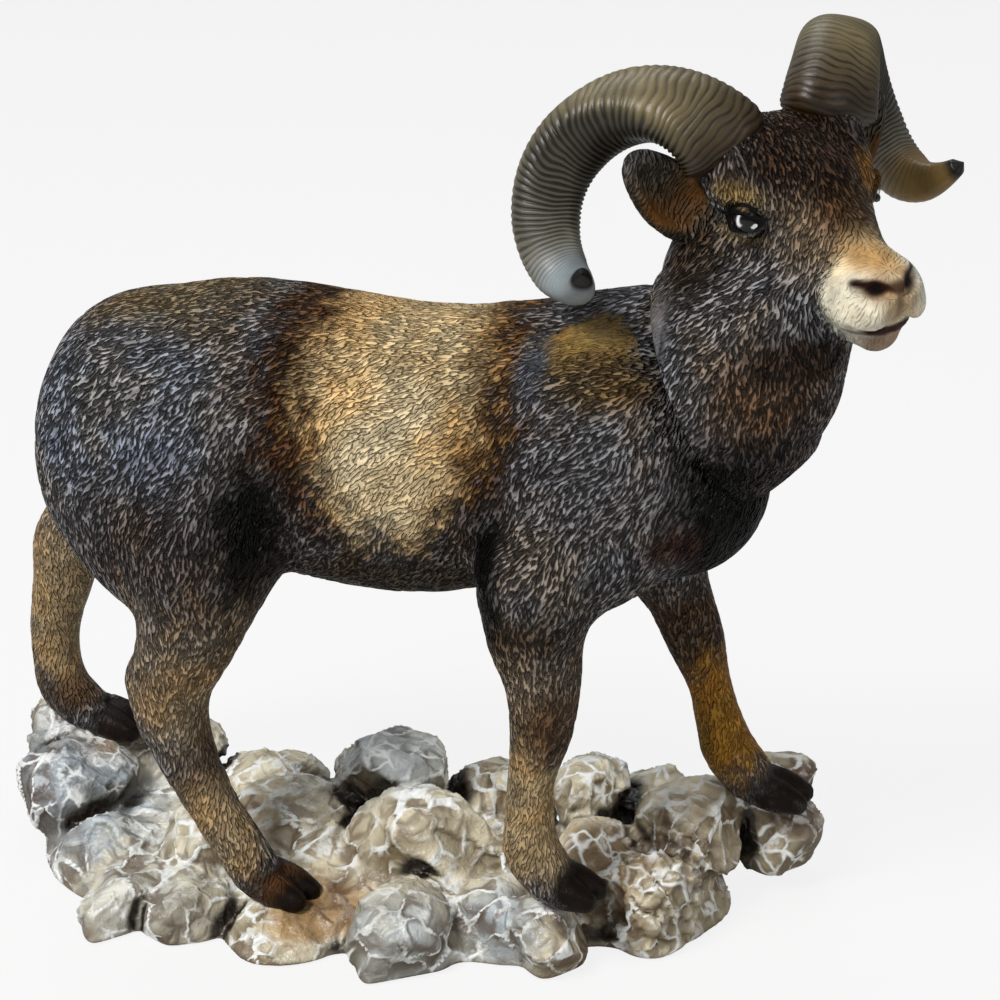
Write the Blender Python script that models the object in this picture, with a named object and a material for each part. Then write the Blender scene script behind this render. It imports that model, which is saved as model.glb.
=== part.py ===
"""Resin mouflon nativity figure: a ram standing on a rocky base, cast in one piece.

The ram looks along +X and turns its head to its right, towards -Y. The origin is on the flat underside
of the base, below the ram's belly, and +Z is up.

The casting is modelled the way a sculptor builds up clay. Limbs (round sections swept along a smooth
line), muscles (ellipsoids) and stones (ellipsoids with flats) are blended into one block of clay, each
with its own softness at the joint. The block's skin becomes a mesh, Decimate spends its triangles where
the form turns, and Booleans level the underside and join the two horns, which are lofts with growth ridges.
"""

import math

import bmesh
import bpy
import numpy as np

MM = 0.001  # sizes below are in millimetres, and the mesh is in metres

# Stance: the ram's own sizes
LEG_SPREAD = 16.5  # from the middle of the body to a leg
BODY_HALF_WIDTH = 20.5
BACK_HEIGHT = 105.6
BELLY_HEIGHT = 59.4
BELLY_ON_PHOTO = 59.4  # the belly's height for which the legs were measured

# Base
BASE_SINK = 3.0  # clay below the underside, which the levelling cut takes off

# Head: its place, between the eyes, and how it is held
EYES_AT = (56.2, -3.0, 125.8)
HEAD_YAW = -45.0  # degrees, turned to the ram's right
HEAD_PITCH = 9.0  # nose down
HEAD_ROLL = 7.0  # left side up
EYE_RADIUS = 3.1

# Horns, in the head's frame
HORN_CURL_CENTRES = {1.0: (-16.4, 12.5, 3.4), -1.0: (-16.6, 12.5, 2.4)}  # of the left and the right one
HORN_FLARE = 28.0  # degrees that the curl swings outwards from the head's middle plane
HORN_CURL_RADII = (9.9, 13.6)  # at the root and at the tip
HORN_TURN = (23.0, 322.0)  # degrees from straight ahead, over the top and round
HORN_DRIFT = (8.5, 18.4)  # outwards along the curl, steady and growing
HORN_HALF_SIZE = (5.6, 5.6)  # radial and lateral
HORN_ROOT_FLARE = (-0.5, 2.9)  # how much more at the root
HORN_FLARE_FADE = 0.18  # share of the length over which that fades
# share of the length, and share of the half size there
HORN_TAPER = ((0.0, 1.0), (0.45, 0.97), (0.65, 0.88), (0.8, 0.72), (0.9, 0.56), (0.96, 0.42), (1.0, 0.2))
HORN_ROOT_ROUNDING = 0.07  # share of the length over which the root rounds off inside the skull
HORN_RIDGES = 34
HORN_RIDGE_HEIGHT = 0.4
HORN_LOBES = 0.07  # how far the section leans from an oval towards a rounded triangle
HORN_SIDES = 12

# Block of clay: its ends along X, Y and Z, and where it is fine, about the head
BLOCK = ((-98.0, 92.0), (-46.0, 56.0), (-BASE_SINK - 2.0, 160.0))
FINE_PART = ((30.0, 90.0), (-34.0, 14.0), (100.0, 142.0))
COARSE_STEP = 1.5
FINE_STEP = 0.8

# Finish of the mesh
TRIANGLES = 8200  # of the clay alone
FACE_CENTRE = (3.0, 0.0, -3.0)  # of the part that keeps more triangles, in the head's frame
FACE_SIZE = (24.0, 26.0, 17.0)
FACE_CARE = 1.2e-4  # how much dearer thinning is on the face than elsewhere
CRUMB_FACES = 200  # a bit of fewer faces isn't kept

RESIN = (0.12, 0.10, 0.085, 1.0)


def softened(near, far, softness):
    """Smooth minimum of two fields: the two forms run into each other over about the softness."""
    mix = np.clip(0.5 + 0.5 * (far - near) / softness, 0.0, 1.0)
    return far + (near - far) * mix - softness * mix * (1.0 - mix)


def catmull_rom(stations, per_span):
    """Points on a smooth curve through the stations, per_span of them between two."""
    held = np.vstack([2 * stations[0] - stations[1], stations, 2 * stations[-1] - stations[-2]])
    curve = []
    for i in range(1, len(held) - 2):
        before, start, end, after = held[i - 1 : i + 3]
        for t in np.arange(per_span) / per_span:
            curve.append(
                0.5
                * (
                    2 * start
                    + (end - before) * t
                    + (2 * before - 5 * start + 4 * end - after) * t**2
                    + (3 * start - before - 3 * end + after) * t**3
                )
            )
    return np.array(curve + [held[-2]])


class Limb:
    """A round section swept along a smooth line. Each station is x, y, z and radius."""

    def __init__(self, *stations, flat=(0.0, 1.0, 0.0), squash=1.0, per_span=4):
        line = catmull_rom(np.array(stations, float), per_span)
        self.line = line[:, :3]
        self.radii = line[:, 3]
        self.flat = np.array(flat, float) / np.linalg.norm(flat)
        self.squash = squash  # size across the flat direction, as a share of the radius
        reach = self.radii[:, None]
        self.low = (self.line - reach).min(axis=0)
        self.high = (self.line + reach).max(axis=0)

    def stretched(self, points):
        """Points in a space where the flattened section is round."""
        across = points @ self.flat
        return points + across[..., None] * self.flat * (1.0 / self.squash - 1.0)

    def distance(self, points):
        """Least of the distances to the spans of the line, less the radius there."""
        line = self.stretched(self.line)
        points = self.stretched(points)
        nearest = np.full(len(points), np.inf)
        for i in range(len(line) - 1):
            along = line[i + 1] - line[i]
            t = np.clip((points - line[i]) @ along / (along @ along), 0.0, 1.0)
            gap = np.linalg.norm(points - line[i] - t[:, None] * along, axis=1)
            radius = self.radii[i] + (self.radii[i + 1] - self.radii[i]) * t
            nearest = np.minimum(nearest, gap - radius)
        return nearest


class Muscle:
    """An ellipsoid, turned by its axes: rows are its own x, y and z directions."""

    def __init__(self, centre, radii, axes=np.eye(3)):
        self.centre = np.array(centre, float)
        self.radii = np.array(radii, float)
        self.axes = np.array(axes, float)
        reach = np.sqrt(((self.axes * self.radii[:, None]) ** 2).sum(axis=0))
        self.low = self.centre - reach
        self.high = self.centre + reach

    def distance(self, points):
        """Scaled radius less one, over its slope: close to the distance near the surface."""
        local = (points - self.centre) @ self.axes.T
        near = np.linalg.norm(local / self.radii, axis=1)
        steep = np.linalg.norm(local / self.radii**2, axis=1)
        return near * (near - 1.0) / np.maximum(steep, 1e-6)


class Stone:
    """A boulder: an ellipsoid with flats struck off it at seeded random angles."""

    FLAT_COUNT = 11
    FLAT_DEPTHS = (0.68, 0.92)  # least and greatest, as shares of the radius
    ARRIS = 0.10  # how far the edges between the flats are rounded, as a share too

    def __init__(self, centre, radii, seed):
        self.centre = np.array(centre, float)
        self.radii = np.array(radii, float)
        random = np.random.default_rng(seed)
        normals = random.normal(size=(self.FLAT_COUNT, 3))
        self.normals = normals / np.linalg.norm(normals, axis=1)[:, None]
        self.depths = random.uniform(*self.FLAT_DEPTHS, self.FLAT_COUNT)
        self.low = self.centre - self.radii * 1.05
        self.high = self.centre + self.radii * 1.05

    def distance(self, points):
        """Greatest of the ellipsoid's field and those of the flats, with rounded arrises."""
        local = (points - self.centre) / self.radii
        field = np.linalg.norm(local, axis=1) - 1.0
        for normal, depth in zip(self.normals, self.depths):
            field = -softened(-field, -(local @ normal - depth), self.ARRIS)
        return field * self.radii.min()


class Clay:
    """A block of clay on a grid of values, below zero in the clay and above zero in the air."""

    def __init__(self, xs, ys, zs):
        self.axes = (xs, ys, zs)
        self.field = np.full((len(xs), len(ys), len(zs)), 9.0, np.float32)
        self.room = (np.array([xs[1], ys[1], zs[1]]), np.array([xs[-2], ys[-2], zs[-2]]))

    def change(self, shape, margin, rule):
        """Applies rule(old values, the shape's distance) in the part of the block that the shape can reach."""
        spans = []
        low_reach = np.maximum(shape.low - margin, self.room[0])
        high_reach = np.minimum(shape.high + margin, self.room[1])
        for axis, low, high in zip(self.axes, low_reach, high_reach):
            spans.append(slice(*np.searchsorted(axis, (low, high))))
        window = tuple(spans)
        grids = np.meshgrid(*(axis[span] for axis, span in zip(self.axes, spans)), indexing="ij")
        points = np.stack([grid.ravel() for grid in grids], axis=-1)
        if len(points):
            distance = shape.distance(points).reshape(grids[0].shape)
            self.field[window] = rule(self.field[window], distance)

    def add(self, shape, softness=0.5):
        """Blends a shape onto the clay."""
        self.change(shape, softness + 3.0, lambda old, new: softened(old, new, softness))

    def carve(self, shape, softness=0.5):
        """Takes a shape out of the clay."""
        self.change(shape, softness + 3.0, lambda old, new: -softened(-old, new, softness))

    def pinches(self):
        """The grid places to fill where the clay touches itself only across an edge or a corner."""
        inside = self.field < 0
        pinched = np.zeros_like(inside)

        def corner(offsets):
            """The grid places at one corner of every cell."""
            return tuple(slice(None, -1) if step == 0 else slice(1, None) for step in offsets)

        for still in range(3):
            square = [corner(np.insert(pair, still, 0)) for pair in ((0, 0), (1, 1), (0, 1), (1, 0))]
            square = [place[:still] + (slice(None),) + place[still + 1 :] for place in square]
            for one, two, other, last in (square, square[2:] + square[:2]):
                touching = inside[one] & inside[two] & ~inside[other] & ~inside[last]
                pinched[other] |= touching
                pinched[last] |= touching
        cube = [corner(offsets) for offsets in np.ndindex(2, 2, 2)]
        count = sum(inside[place].astype(int) for place in cube)
        for one, two in zip(cube[:4], cube[:3:-1]):
            alone = inside[one] & inside[two] & (count == 2) | ~inside[one] & ~inside[two] & (count == 6)
            for place in cube:
                pinched[place] |= alone
        return pinched & ~inside

    def close_pinches(self):
        """Fills pinches until the clay's skin is one sound surface everywhere."""
        pinched = self.pinches()
        while pinched.any():
            self.field[pinched] = -0.02
            pinched = self.pinches()

    def skin(self):
        """Vertices and four-sided faces of the surface where the field is zero: one vertex in each cell
        that the surface crosses, at the middle of its crossings, and one face round each crossed grid edge."""
        field = self.field
        inside = field < 0
        cells = tuple(n - 1 for n in field.shape)
        total = np.zeros(cells + (3,), np.float32)
        crossings = np.zeros(cells, np.float32)
        edges = []
        for axis in range(3):
            low = [slice(None)] * 3
            high = [slice(None)] * 3
            low[axis] = slice(None, -1)
            high[axis] = slice(1, None)
            low, high = tuple(low), tuple(high)
            crossed = np.argwhere(inside[low] != inside[high])
            start = tuple(crossed.T)
            end = crossed.copy()
            end[:, axis] += 1
            a = field[start]
            b = field[tuple(end.T)]
            share = (a / (a - b))[:, None]
            grid = self.axes
            at_start = np.stack([grid[k][crossed[:, k]] for k in range(3)], -1)
            at_end = np.stack([grid[k][end[:, k]] for k in range(3)], -1)
            point = at_start + (at_end - at_start) * share
            others = [k for k in range(3) if k != axis]
            ring = []
            for back in ((0, 0), (1, 0), (1, 1), (0, 1)):
                cell = crossed.copy()
                cell[:, others[0]] -= back[0]
                cell[:, others[1]] -= back[1]
                np.add.at(total, tuple(cell.T), point)
                np.add.at(crossings, tuple(cell.T), 1.0)
                ring.append(np.ravel_multi_index(tuple(cell.T), cells))
            ring = np.stack(ring, -1)
            leaving = inside[start]
            if axis == 1:
                leaving = ~leaving
            edges.append(np.where(leaving[:, None], ring, ring[:, ::-1]))
        used = np.flatnonzero(crossings.ravel())
        number = np.zeros(crossings.size, np.int64)
        number[used] = np.arange(len(used))
        vertices = total.reshape(-1, 3)[used] / crossings.ravel()[used, None]
        return vertices, number[np.concatenate(edges)]


def head_axes():
    """The head's own forward, left and up directions in the figure's frame."""
    yaw, pitch, roll = (math.radians(a) for a in (HEAD_YAW, HEAD_PITCH, HEAD_ROLL))
    level = np.array([math.cos(yaw), math.sin(yaw), 0.0])
    level_left = np.array([-math.sin(yaw), math.cos(yaw), 0.0])
    forward = math.cos(pitch) * level - math.sin(pitch) * np.array([0.0, 0.0, 1.0])
    up = np.cross(forward, level_left)
    left = math.cos(roll) * level_left + math.sin(roll) * up
    return np.array([forward, left, np.cross(forward, left)])


def in_head(points):
    """Points given as forward, left and up of the point between the eyes, in the figure's frame."""
    return np.array(EYES_AT) + np.asarray(points, float) @ head_axes()


def head_limb(*stations, **options):
    """A limb whose stations are in the head's frame."""
    placed = [(*in_head(station[:3]), station[3]) for station in stations]
    return Limb(*placed, **options)


def head_muscle(centre, radii):
    """A muscle in the head's frame."""
    return Muscle(in_head(centre), radii, head_axes())


def trunk(clay):
    """Barrel, croup, withers, breast and the short tail."""
    middle = (BACK_HEIGHT + BELLY_HEIGHT) / 2
    depth = (BACK_HEIGHT - BELLY_HEIGHT) / 2
    clay.add(
        Limb(
            (-46, 0, middle + 1.4, 21),
            (-32, 0, middle + 1.6, depth + 0.2),
            (-8, 0, middle - 0.8, depth + 0.6),
            (8, 0, middle + 1.0, depth - 1.2),
            (26, 0, middle + 2, 18.5),
            squash=BODY_HALF_WIDTH / depth,
        ),
    )
    clay.add(Muscle((-53, 0, 88), (14, 15, 14.5)), 5)
    clay.add(Muscle((35.5, 0, 80.5), (15.8, 14.5, 16)), 6)
    clay.add(Limb((12, 0, 98, 8), (24, 0, 100.5, 9), (32, 0, 102, 9)), 5)
    clay.add(Muscle((-68.8, 0, 78), (2.6, 3.4, 8)), 1.2)


def haunches(clay):
    """Thigh muscles, which stand proud of the flank and belly."""
    for side in (1.0, -1.0):
        clay.add(Muscle((-47, side * 10, 79), (20, 12, 23)), 5)
        clay.add(Muscle((-41.7, side * 12.5, 70), (16.5, 9, 18.5)), 4)


def shoulders(clay):
    """Shoulder blades."""
    for side in (1.0, -1.0):
        clay.add(Muscle((25, side * 11, 83), (15.5, 11.5, 21.5)), 5)


def leg(clay, bone, hoof_at, hoof_heading):
    """A leg down its bone line, with a cloven hoof that points along its heading, in degrees from +X.

    Above the knee, its heights follow the belly's height.
    """
    rise = BELLY_HEIGHT - BELLY_ON_PHOTO
    knee = bone[len(bone) // 2][2]
    lifted = [(x, y, z + rise * max(0.0, (z - knee) / (bone[0][2] - knee)), radius) for x, y, z, radius in bone]
    clay.add(Limb(*lifted), 4)
    hoof(clay, hoof_at, hoof_heading)


def hoof(clay, toe, heading):
    """Two toes side by side on the stone. toe is the middle of the hoof's sole, at its front end."""
    turn = math.radians(heading)
    ahead = np.array([math.cos(turn), math.sin(turn), 0.0])
    aside = np.array([-math.sin(turn), math.cos(turn), 0.0])
    toe = np.array(toe, float)
    for side in (1.0, -1.0):
        tip = toe + aside * side * 2.3 + np.array([0, 0, 1.7])
        heel = toe - ahead * 7.0 + aside * side * 1.9 + np.array([0, 0, 3.2])
        clay.add(Limb((*heel, 3.0), (*((tip + heel) / 2), 2.9), (*tip, 1.9)), 0.6)


def legs(clay):
    """The near pair, on the ram's right, then the far pair; the hind leg comes before the fore leg."""
    near = -LEG_SPREAD
    far = LEG_SPREAD
    leg(
        clay,
        [
            (-37, near * 0.9, 68, 12),
            (-38.9, near, 55, 8.8),
            (-43, near, 43, 6.6),
            (-42, near, 33.5, 5.3),
            (-37.3, near, 23, 4.3),
            (-33, near, 16, 4.2),
            (-29.8, near, 11, 4.2),
        ],
        (-21.5, near, 5.5),
        -12,
    )
    clay.add(Limb((-44, near, 45, 5), (-48, near, 43.5, 3), (-45, near, 37, 4)), 2)
    leg(
        clay,
        [
            (-54, far * 0.9, 70, 12),
            (-66, far, 60, 9),
            (-74.6, far, 53.8, 6.6),
            (-76.8, far, 46, 5.4),
            (-79, far, 37, 4.5),
            (-79.2, far, 30, 4.3),
            (-78, far, 24.5, 4.6),
            (-74.5, far, 21, 4.3),
        ],
        (-64.5, far, 16),
        -8,
    )
    leg(
        clay,
        [
            (18.5, near, 68, 10),
            (18.1, near, 59, 7.8),
            (19.3, near, 51, 6.1),
            (19.2, near, 43, 5.1),
            (17.6, near, 34, 3.8),
            (17.3, near, 27, 4.0),
            (17.8, near, 21, 4.6),
            (20.5, near, 17, 4.4),
        ],
        (27.5, near, 12.5),
        -10,
    )
    leg(
        clay,
        [
            (30, far * 0.9, 64, 8.3),
            (33.8, far, 55, 5.8),
            (37.3, far, 46.5, 4.9),
            (39.8, far, 39, 3.7),
            (41.8, far, 32, 4.0),
            (43.6, far, 27, 4.6),
            (47, far, 22.5, 4.4),
        ],
        (56, far, 17.5),
        -5,
    )


def neck(clay):
    """The thick neck with its mane, which laps over the shoulders; a crease runs down its edge."""
    clay.add(
        Limb(
            (33, 0, 90, 18.5),
            (41, -0.5, 96, 17.8),
            (46, 0.5, 106, 14.4),
            (46.5, 3.5, 113, 13),
            (48, 4.5, 119, 10),
            squash=0.92,
        ),
        2.0,
    )
    clay.add(Limb((45, -2.5, 98.5, 17), (51.5, -4.5, 106.5, 12)), 3)
    for side in (1.0, -1.0):
        edge = ((32, 0, 113), (33, 8, 111), (35.5, 17, 103.5), (41.5, 20, 93), (49, 14.5, 85), (55, 7, 80.5))
        clay.carve(Limb(*[(x, side * y, z, 0.8) for x, y, z in edge]), 1.5)


def head(clay):
    """Skull, cheeks and a blunt muzzle with nostrils, a parted upper lip and a mouth, then eyes and ears."""
    clay.add(head_muscle((-8, 0, -0.5), (13, 11.0, 11.5)), 4)
    clay.add(head_muscle((-1.5, 0, 1.2), (8, 9.3, 6.2)), 4)
    clay.add(head_muscle((-1, 0, -8.5), (13, 9.0, 9.2)), 4)
    clay.add(head_limb((2, 0, -1.5, 7.6), (9, 0, -5, 6.0), (15, 0, -8, 5.2)), 3)
    clay.add(head_limb((2, 0, -11.8, 5.4), (9.5, 0, -12.6, 4.2), (16.6, 0, -13.0, 3.5)), 3)
    clay.add(head_muscle((15.0, 0, -6.2), (7.6, 6.9, 4.2)), 1.5)
    for side in (1.0, -1.0):
        clay.add(head_muscle((-8.5, side * 8, 5), (7.5, 6, 6.5)), 3)
        clay.add(head_muscle((14.8, side * 3.1, -8.6), (7.6, 4.2, 4.1)), 1.5)
    for side in (1.0, -1.0):
        mouth = (14.5, side * 7.6, -12.0, 0.7), (18.5, side * 6.0, -11.4, 0.8), (22.2, 0, -10.2, 0.9)
        clay.carve(head_limb(*mouth), 0.5)
        nostril = (21.6, side * 1.4, -5.2, 0.8), (20.6, side * 3.4, -4.2, 1.25), (18.2, side * 5.6, -4.4, 0.7)
        clay.carve(head_limb(*nostril), 0.5)
        eye(clay, side)
        ear(clay, side)
    clay.carve(head_limb((22.4, 0, -5.6, 0.5), (22.6, 0, -9.6, 0.6)), 0.6)


def eye(clay, side):
    """An eyeball between two lids, under the brow."""
    ball = np.array((-0.5, side * 9.4, 0.0))
    outward = np.array((0.42, side * 0.9, 0.0))
    ahead = np.array((0.9, -side * 0.42, 0.0))
    clay.add(head_limb((1.5, side * 8.2, 3.4, 1.2), (-1.5, side * 9.2, 4.0, 1.6), (-5, side * 9.6, 2.8, 1.3)), 3)
    clay.add(head_muscle(ball, (EYE_RADIUS, EYE_RADIUS, EYE_RADIUS)), 0.2)
    for rise in (38.0, -32.0):
        lid = []
        for swing in (-66.0, -33.0, 0.0, 33.0, 66.0):
            lift = math.radians(rise * math.cos(math.radians(swing * 90 / 66)))
            turn = math.radians(swing)
            level = math.cos(lift) * (math.cos(turn) * outward + math.sin(turn) * ahead)
            lid.append((*(ball + EYE_RADIUS * (level + np.array((0, 0, math.sin(lift))))), 0.8))
        clay.add(head_limb(*lid), 0.4)


def ear(clay, side):
    """A leaf-shaped ear that stands out sideways behind the horn, hollow towards the front."""
    ahead = head_axes()[0]
    leaf = ((-11, 10, -4.6, 3), (-12, 13.5, -2.2, 5), (-13, 17, 1.2, 5.1), (-14, 20.5, 5.2, 3.4), (-14.4, 22.4, 7.4, 1))
    clay.add(head_limb(*[(f, side * l, k, r) for f, l, k, r in leaf], flat=ahead, squash=0.45), 1.0)
    hollow = ((-9.1, 12.8, -3.1, 2.6), (-10.5, 16.4, 0.6, 3.7), (-11.7, 19.4, 4, 2.4), (-12.9, 21.2, 6, 0.7))
    clay.carve(head_limb(*[(f, side * l, k, r) for f, l, k, r in hollow], flat=ahead, squash=0.6), 0.6)


def horn_line(side, count):
    """The horn's middle line in the head's frame: a curl in a plane that swings outwards, drifting sideways."""
    t = np.linspace(0.0, 1.0, count)
    turn = np.radians(HORN_TURN[0] + (HORN_TURN[1] - HORN_TURN[0]) * t)
    radius = HORN_CURL_RADII[0] + (HORN_CURL_RADII[1] - HORN_CURL_RADII[0]) * t
    flare = math.radians(HORN_FLARE)
    forward, left, up = HORN_CURL_CENTRES[side]
    ahead = radius * np.cos(turn)
    outwards = left - ahead * math.sin(flare) + HORN_DRIFT[0] * t + HORN_DRIFT[1] * t**2
    return np.stack([forward + ahead * math.cos(flare), side * outwards, up + radius * np.sin(turn)], -1)


def horn(name, side):
    """A horn: a rounded section carried along the curl, with a ridge and a groove for each year's ring."""
    rings = 2 * HORN_RIDGES + 1
    line = in_head(horn_line(side, rings))
    along = np.gradient(line, axis=0)
    along /= np.linalg.norm(along, axis=1)[:, None]
    lateral = head_axes()[1] * side
    lateral = lateral - (along @ lateral)[:, None] * along
    lateral /= np.linalg.norm(lateral, axis=1)[:, None]
    radial = np.cross(along, lateral)
    t = np.linspace(0.0, 1.0, rings)
    rounded_root = np.sqrt(1.0 - 0.9 * np.clip(1.0 - t / HORN_ROOT_ROUNDING, 0.0, 1.0) ** 2)
    taper = np.interp(t, *zip(*HORN_TAPER)) * rounded_root
    ridge = np.where(np.arange(rings) % 2 == 1, HORN_RIDGE_HEIGHT, 0.0) * np.clip(6 * (1 - t), 0, 1)
    angle = np.linspace(0.0, 2 * math.pi, HORN_SIDES, endpoint=False)
    lobes = 1.0 + HORN_LOBES * np.cos(3 * (angle - math.pi / 2))
    at_root = np.exp(-t / HORN_FLARE_FADE)
    thick = (HORN_HALF_SIZE[0] + HORN_ROOT_FLARE[0] * at_root) * taper + ridge
    wide = (HORN_HALF_SIZE[1] + HORN_ROOT_FLARE[1] * at_root) * taper + ridge
    ring_points = (
        line[:, None]
        + (lobes * np.cos(angle))[None, :, None] * thick[:, None, None] * radial[:, None]
        + (lobes * np.sin(angle))[None, :, None] * wide[:, None, None] * lateral[:, None]
    )
    shape = bmesh.new()
    loops = [[shape.verts.new(point * MM) for point in ring] for ring in ring_points]
    for lower, upper in zip(loops, loops[1:]):
        for i in range(HORN_SIDES):
            j = (i + 1) % HORN_SIDES
            shape.faces.new((lower[i], lower[j], upper[j], upper[i]))
    shape.faces.new(loops[0][::-1])
    shape.faces.new(loops[-1])
    bmesh.ops.recalc_face_normals(shape, faces=shape.faces)
    mesh = bpy.data.meshes.new(name)
    shape.to_mesh(mesh)
    shape.free()
    horn_object = bpy.data.objects.new(name, mesh)
    bpy.context.scene.collection.objects.link(horn_object)
    horn_object.hide_render = True
    horn_object.display_type = "WIRE"
    return horn_object


# middle x, y, z, then half length, half depth and half height
STONES = [
    (-78.5, 20, 12.5, 10.5, 11, 9),
    (-73, 8, 9, 12.5, 12, 9),
    (-60, -7, 4, 9.5, 9, 9),
    (-53, -18, 1, 8, 11.5, 8),
    (-41, -18, 1.5, 8, 11, 8),
    (-44, -4, 7, 8, 10, 8),
    (-25, -14.5, -1, 13, 14.5, 7.5),
    (-4, -19, 3, 9.5, 12.8, 10),
    (-16.5, 16, 15.5, 12, 12, 7),
    (-31, 6, 8.5, 12, 12, 7.5),
    (-4.5, -1, 11, 15, 12, 9.5),
    (13, -9, 3.5, 12.5, 10, 7.5),
    (20, -15, 5, 8, 8, 7),
    (20, 18, 15, 7.5, 10, 6.5),
    (25, 3, 11, 9, 10, 7.5),
    (34.5, -1, 6, 11, 11, 11),
    (38.5, 13, 13, 10.5, 12, 9),
    (51.5, 23, 9, 8.5, 9, 9),
    (51, 24, 17, 7.5, 8, 7.5),
    (-62, 24, 9, 12, 10, 10),
    (-42, 21, 6, 13, 11, 8),
    (2, 22, 7.5, 12, 10, 9),
    (30, 27, 8, 12, 9, 9.5),
]


# middle x and y, then half length, half depth and height of the ground that carries the stones
MOUNDS = [
    (-70, 14, 9, 9, 16),
    (-46, 4, 30, 22, 9),
    (-8, 2, 38, 23, 10),
    (24, 9, 22, 17, 11),
]


def stones(clay):
    """The heap of stones under the hooves."""
    for seed, (x, y, z, length, depth, height) in enumerate(STONES):
        clay.add(Stone((x, y, z), (length, depth, height), seed), 0.8)
    for x, y, length, depth, height in MOUNDS:
        clay.add(Muscle((x, y, 0), (length, depth, height)), 3)


def graded(ends, fine_ends):
    """Grid places along an axis, close together where the head is."""
    return np.concatenate(
        [
            np.arange(ends[0], fine_ends[0], COARSE_STEP),
            np.arange(*fine_ends, FINE_STEP),
            np.arange(fine_ends[1], ends[1] + COARSE_STEP, COARSE_STEP),
        ]
    )


def casting():
    """The figure without its horns: the skin of the clay, thinned with care for the face."""
    clay = Clay(*(graded(ends, fine_ends) for ends, fine_ends in zip(BLOCK, FINE_PART)))
    trunk(clay)
    haunches(clay)
    shoulders(clay)
    legs(clay)
    neck(clay)
    head(clay)
    stones(clay)
    clay.close_pinches()
    vertices, faces = clay.skin()
    mesh = bpy.data.meshes.new("mouflon_figure")
    mesh.from_pydata(vertices * MM, [], faces)
    mesh.validate()
    figure = bpy.data.objects.new("mouflon_figure", mesh)
    bpy.context.scene.collection.objects.link(figure)
    thin = figure.modifiers.new("thin", "DECIMATE")
    thin.ratio = TRIANGLES / (2 * len(faces))
    face = figure.vertex_groups.new(name="face")
    from_face = (vertices - in_head(FACE_CENTRE)) @ head_axes().T / FACE_SIZE
    near_face = np.linalg.norm(from_face, axis=1) < 1
    face.add(np.flatnonzero(near_face).tolist(), 0.9, "REPLACE")
    thin.vertex_group = "face"
    thin.invert_vertex_group = True
    thin.vertex_group_factor = FACE_CARE
    return figure


def without_crumbs(figure):
    """Applies the figure's modifiers, and sweeps away the tiny folds and pockets that they can leave.

    A fold or pocket hangs on to the skin only by edges with more than two faces.
    """
    evaluated = figure.evaluated_get(bpy.context.evaluated_depsgraph_get())
    mesh = bpy.data.meshes.new_from_object(evaluated)
    figure.modifiers.clear()
    figure.data = mesh
    shape = bmesh.new()
    shape.from_mesh(mesh)
    waiting = set(shape.faces)
    crumbs = []
    while waiting:
        bit = [waiting.pop()]
        for face in bit:
            sound_edges = [edge for edge in face.edges if len(edge.link_faces) == 2]
            found = {other for edge in sound_edges for other in edge.link_faces} & waiting
            waiting -= found
            bit += found
        if len(bit) < CRUMB_FACES:
            crumbs += bit
    bmesh.ops.delete(shape, geom=crumbs, context="FACES")
    shape.to_mesh(mesh)
    shape.free()


def main():
    """Casts the figure, levels its underside, joins the horns and paints it."""
    for thing in list(bpy.data.objects):
        bpy.data.objects.remove(thing)
    figure = casting()
    bpy.ops.mesh.primitive_cube_add(size=1.0)
    ground = bpy.context.object
    ground.name = "ground_cut"
    ground.scale = (0.4, 0.4, 0.04)
    ground.location = (0, 0, -0.02)
    ground.hide_render = True
    ground.display_type = "WIRE"
    level = figure.modifiers.new("level", "BOOLEAN")
    level.operation = "DIFFERENCE"
    level.object = ground
    for name, side in (("horn_left", 1.0), ("horn_right", -1.0)):
        join = figure.modifiers.new(name, "BOOLEAN")
        join.operation = "UNION"
        join.object = horn(name, side)
        join.solver = "EXACT"
        join.use_self = True
    without_crumbs(figure)
    resin = bpy.data.materials.new("painted_resin")
    resin.use_nodes = True
    shader = resin.node_tree.nodes["Principled BSDF"]
    shader.inputs["Base Color"].default_value = RESIN
    shader.inputs["Roughness"].default_value = 0.45
    figure.data.materials.clear()
    figure.data.materials.append(resin)


main()
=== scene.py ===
"""Looks of the resin mouflon nativity figure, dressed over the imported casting.

The ram is sculpted again from the same limbs and muscles as the casting, on a fine lattice, and its skin
is carved with strokes of hair and painted. The stones, the horns and the eyes are pieces of their own.
Sizes are in millimetres in the figure's frame: the ram looks along +X, +Z is up, and the head has a frame
of its own (forward, left, up) with its origin between the eyes.
"""

import logging
import math
from collections.abc import Sequence
from dataclasses import dataclass, field
from enum import Enum

import bpy
import numpy as np
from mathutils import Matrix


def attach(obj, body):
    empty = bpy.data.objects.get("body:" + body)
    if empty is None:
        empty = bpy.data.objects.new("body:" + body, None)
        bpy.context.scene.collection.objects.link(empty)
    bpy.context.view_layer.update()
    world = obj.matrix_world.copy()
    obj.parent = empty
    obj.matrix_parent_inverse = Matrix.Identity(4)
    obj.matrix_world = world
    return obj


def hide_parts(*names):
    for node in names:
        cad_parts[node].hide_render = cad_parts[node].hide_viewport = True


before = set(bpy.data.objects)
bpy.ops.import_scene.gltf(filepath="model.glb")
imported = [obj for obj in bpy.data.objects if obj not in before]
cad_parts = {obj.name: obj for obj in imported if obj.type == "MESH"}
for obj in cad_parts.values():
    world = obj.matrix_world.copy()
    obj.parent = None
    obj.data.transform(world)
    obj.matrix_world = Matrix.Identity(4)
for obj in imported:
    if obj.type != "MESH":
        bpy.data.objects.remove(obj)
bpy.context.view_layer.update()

MM = 0.001
NODE = "mouflon_figure"

log = logging.getLogger("mouflon")


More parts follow.
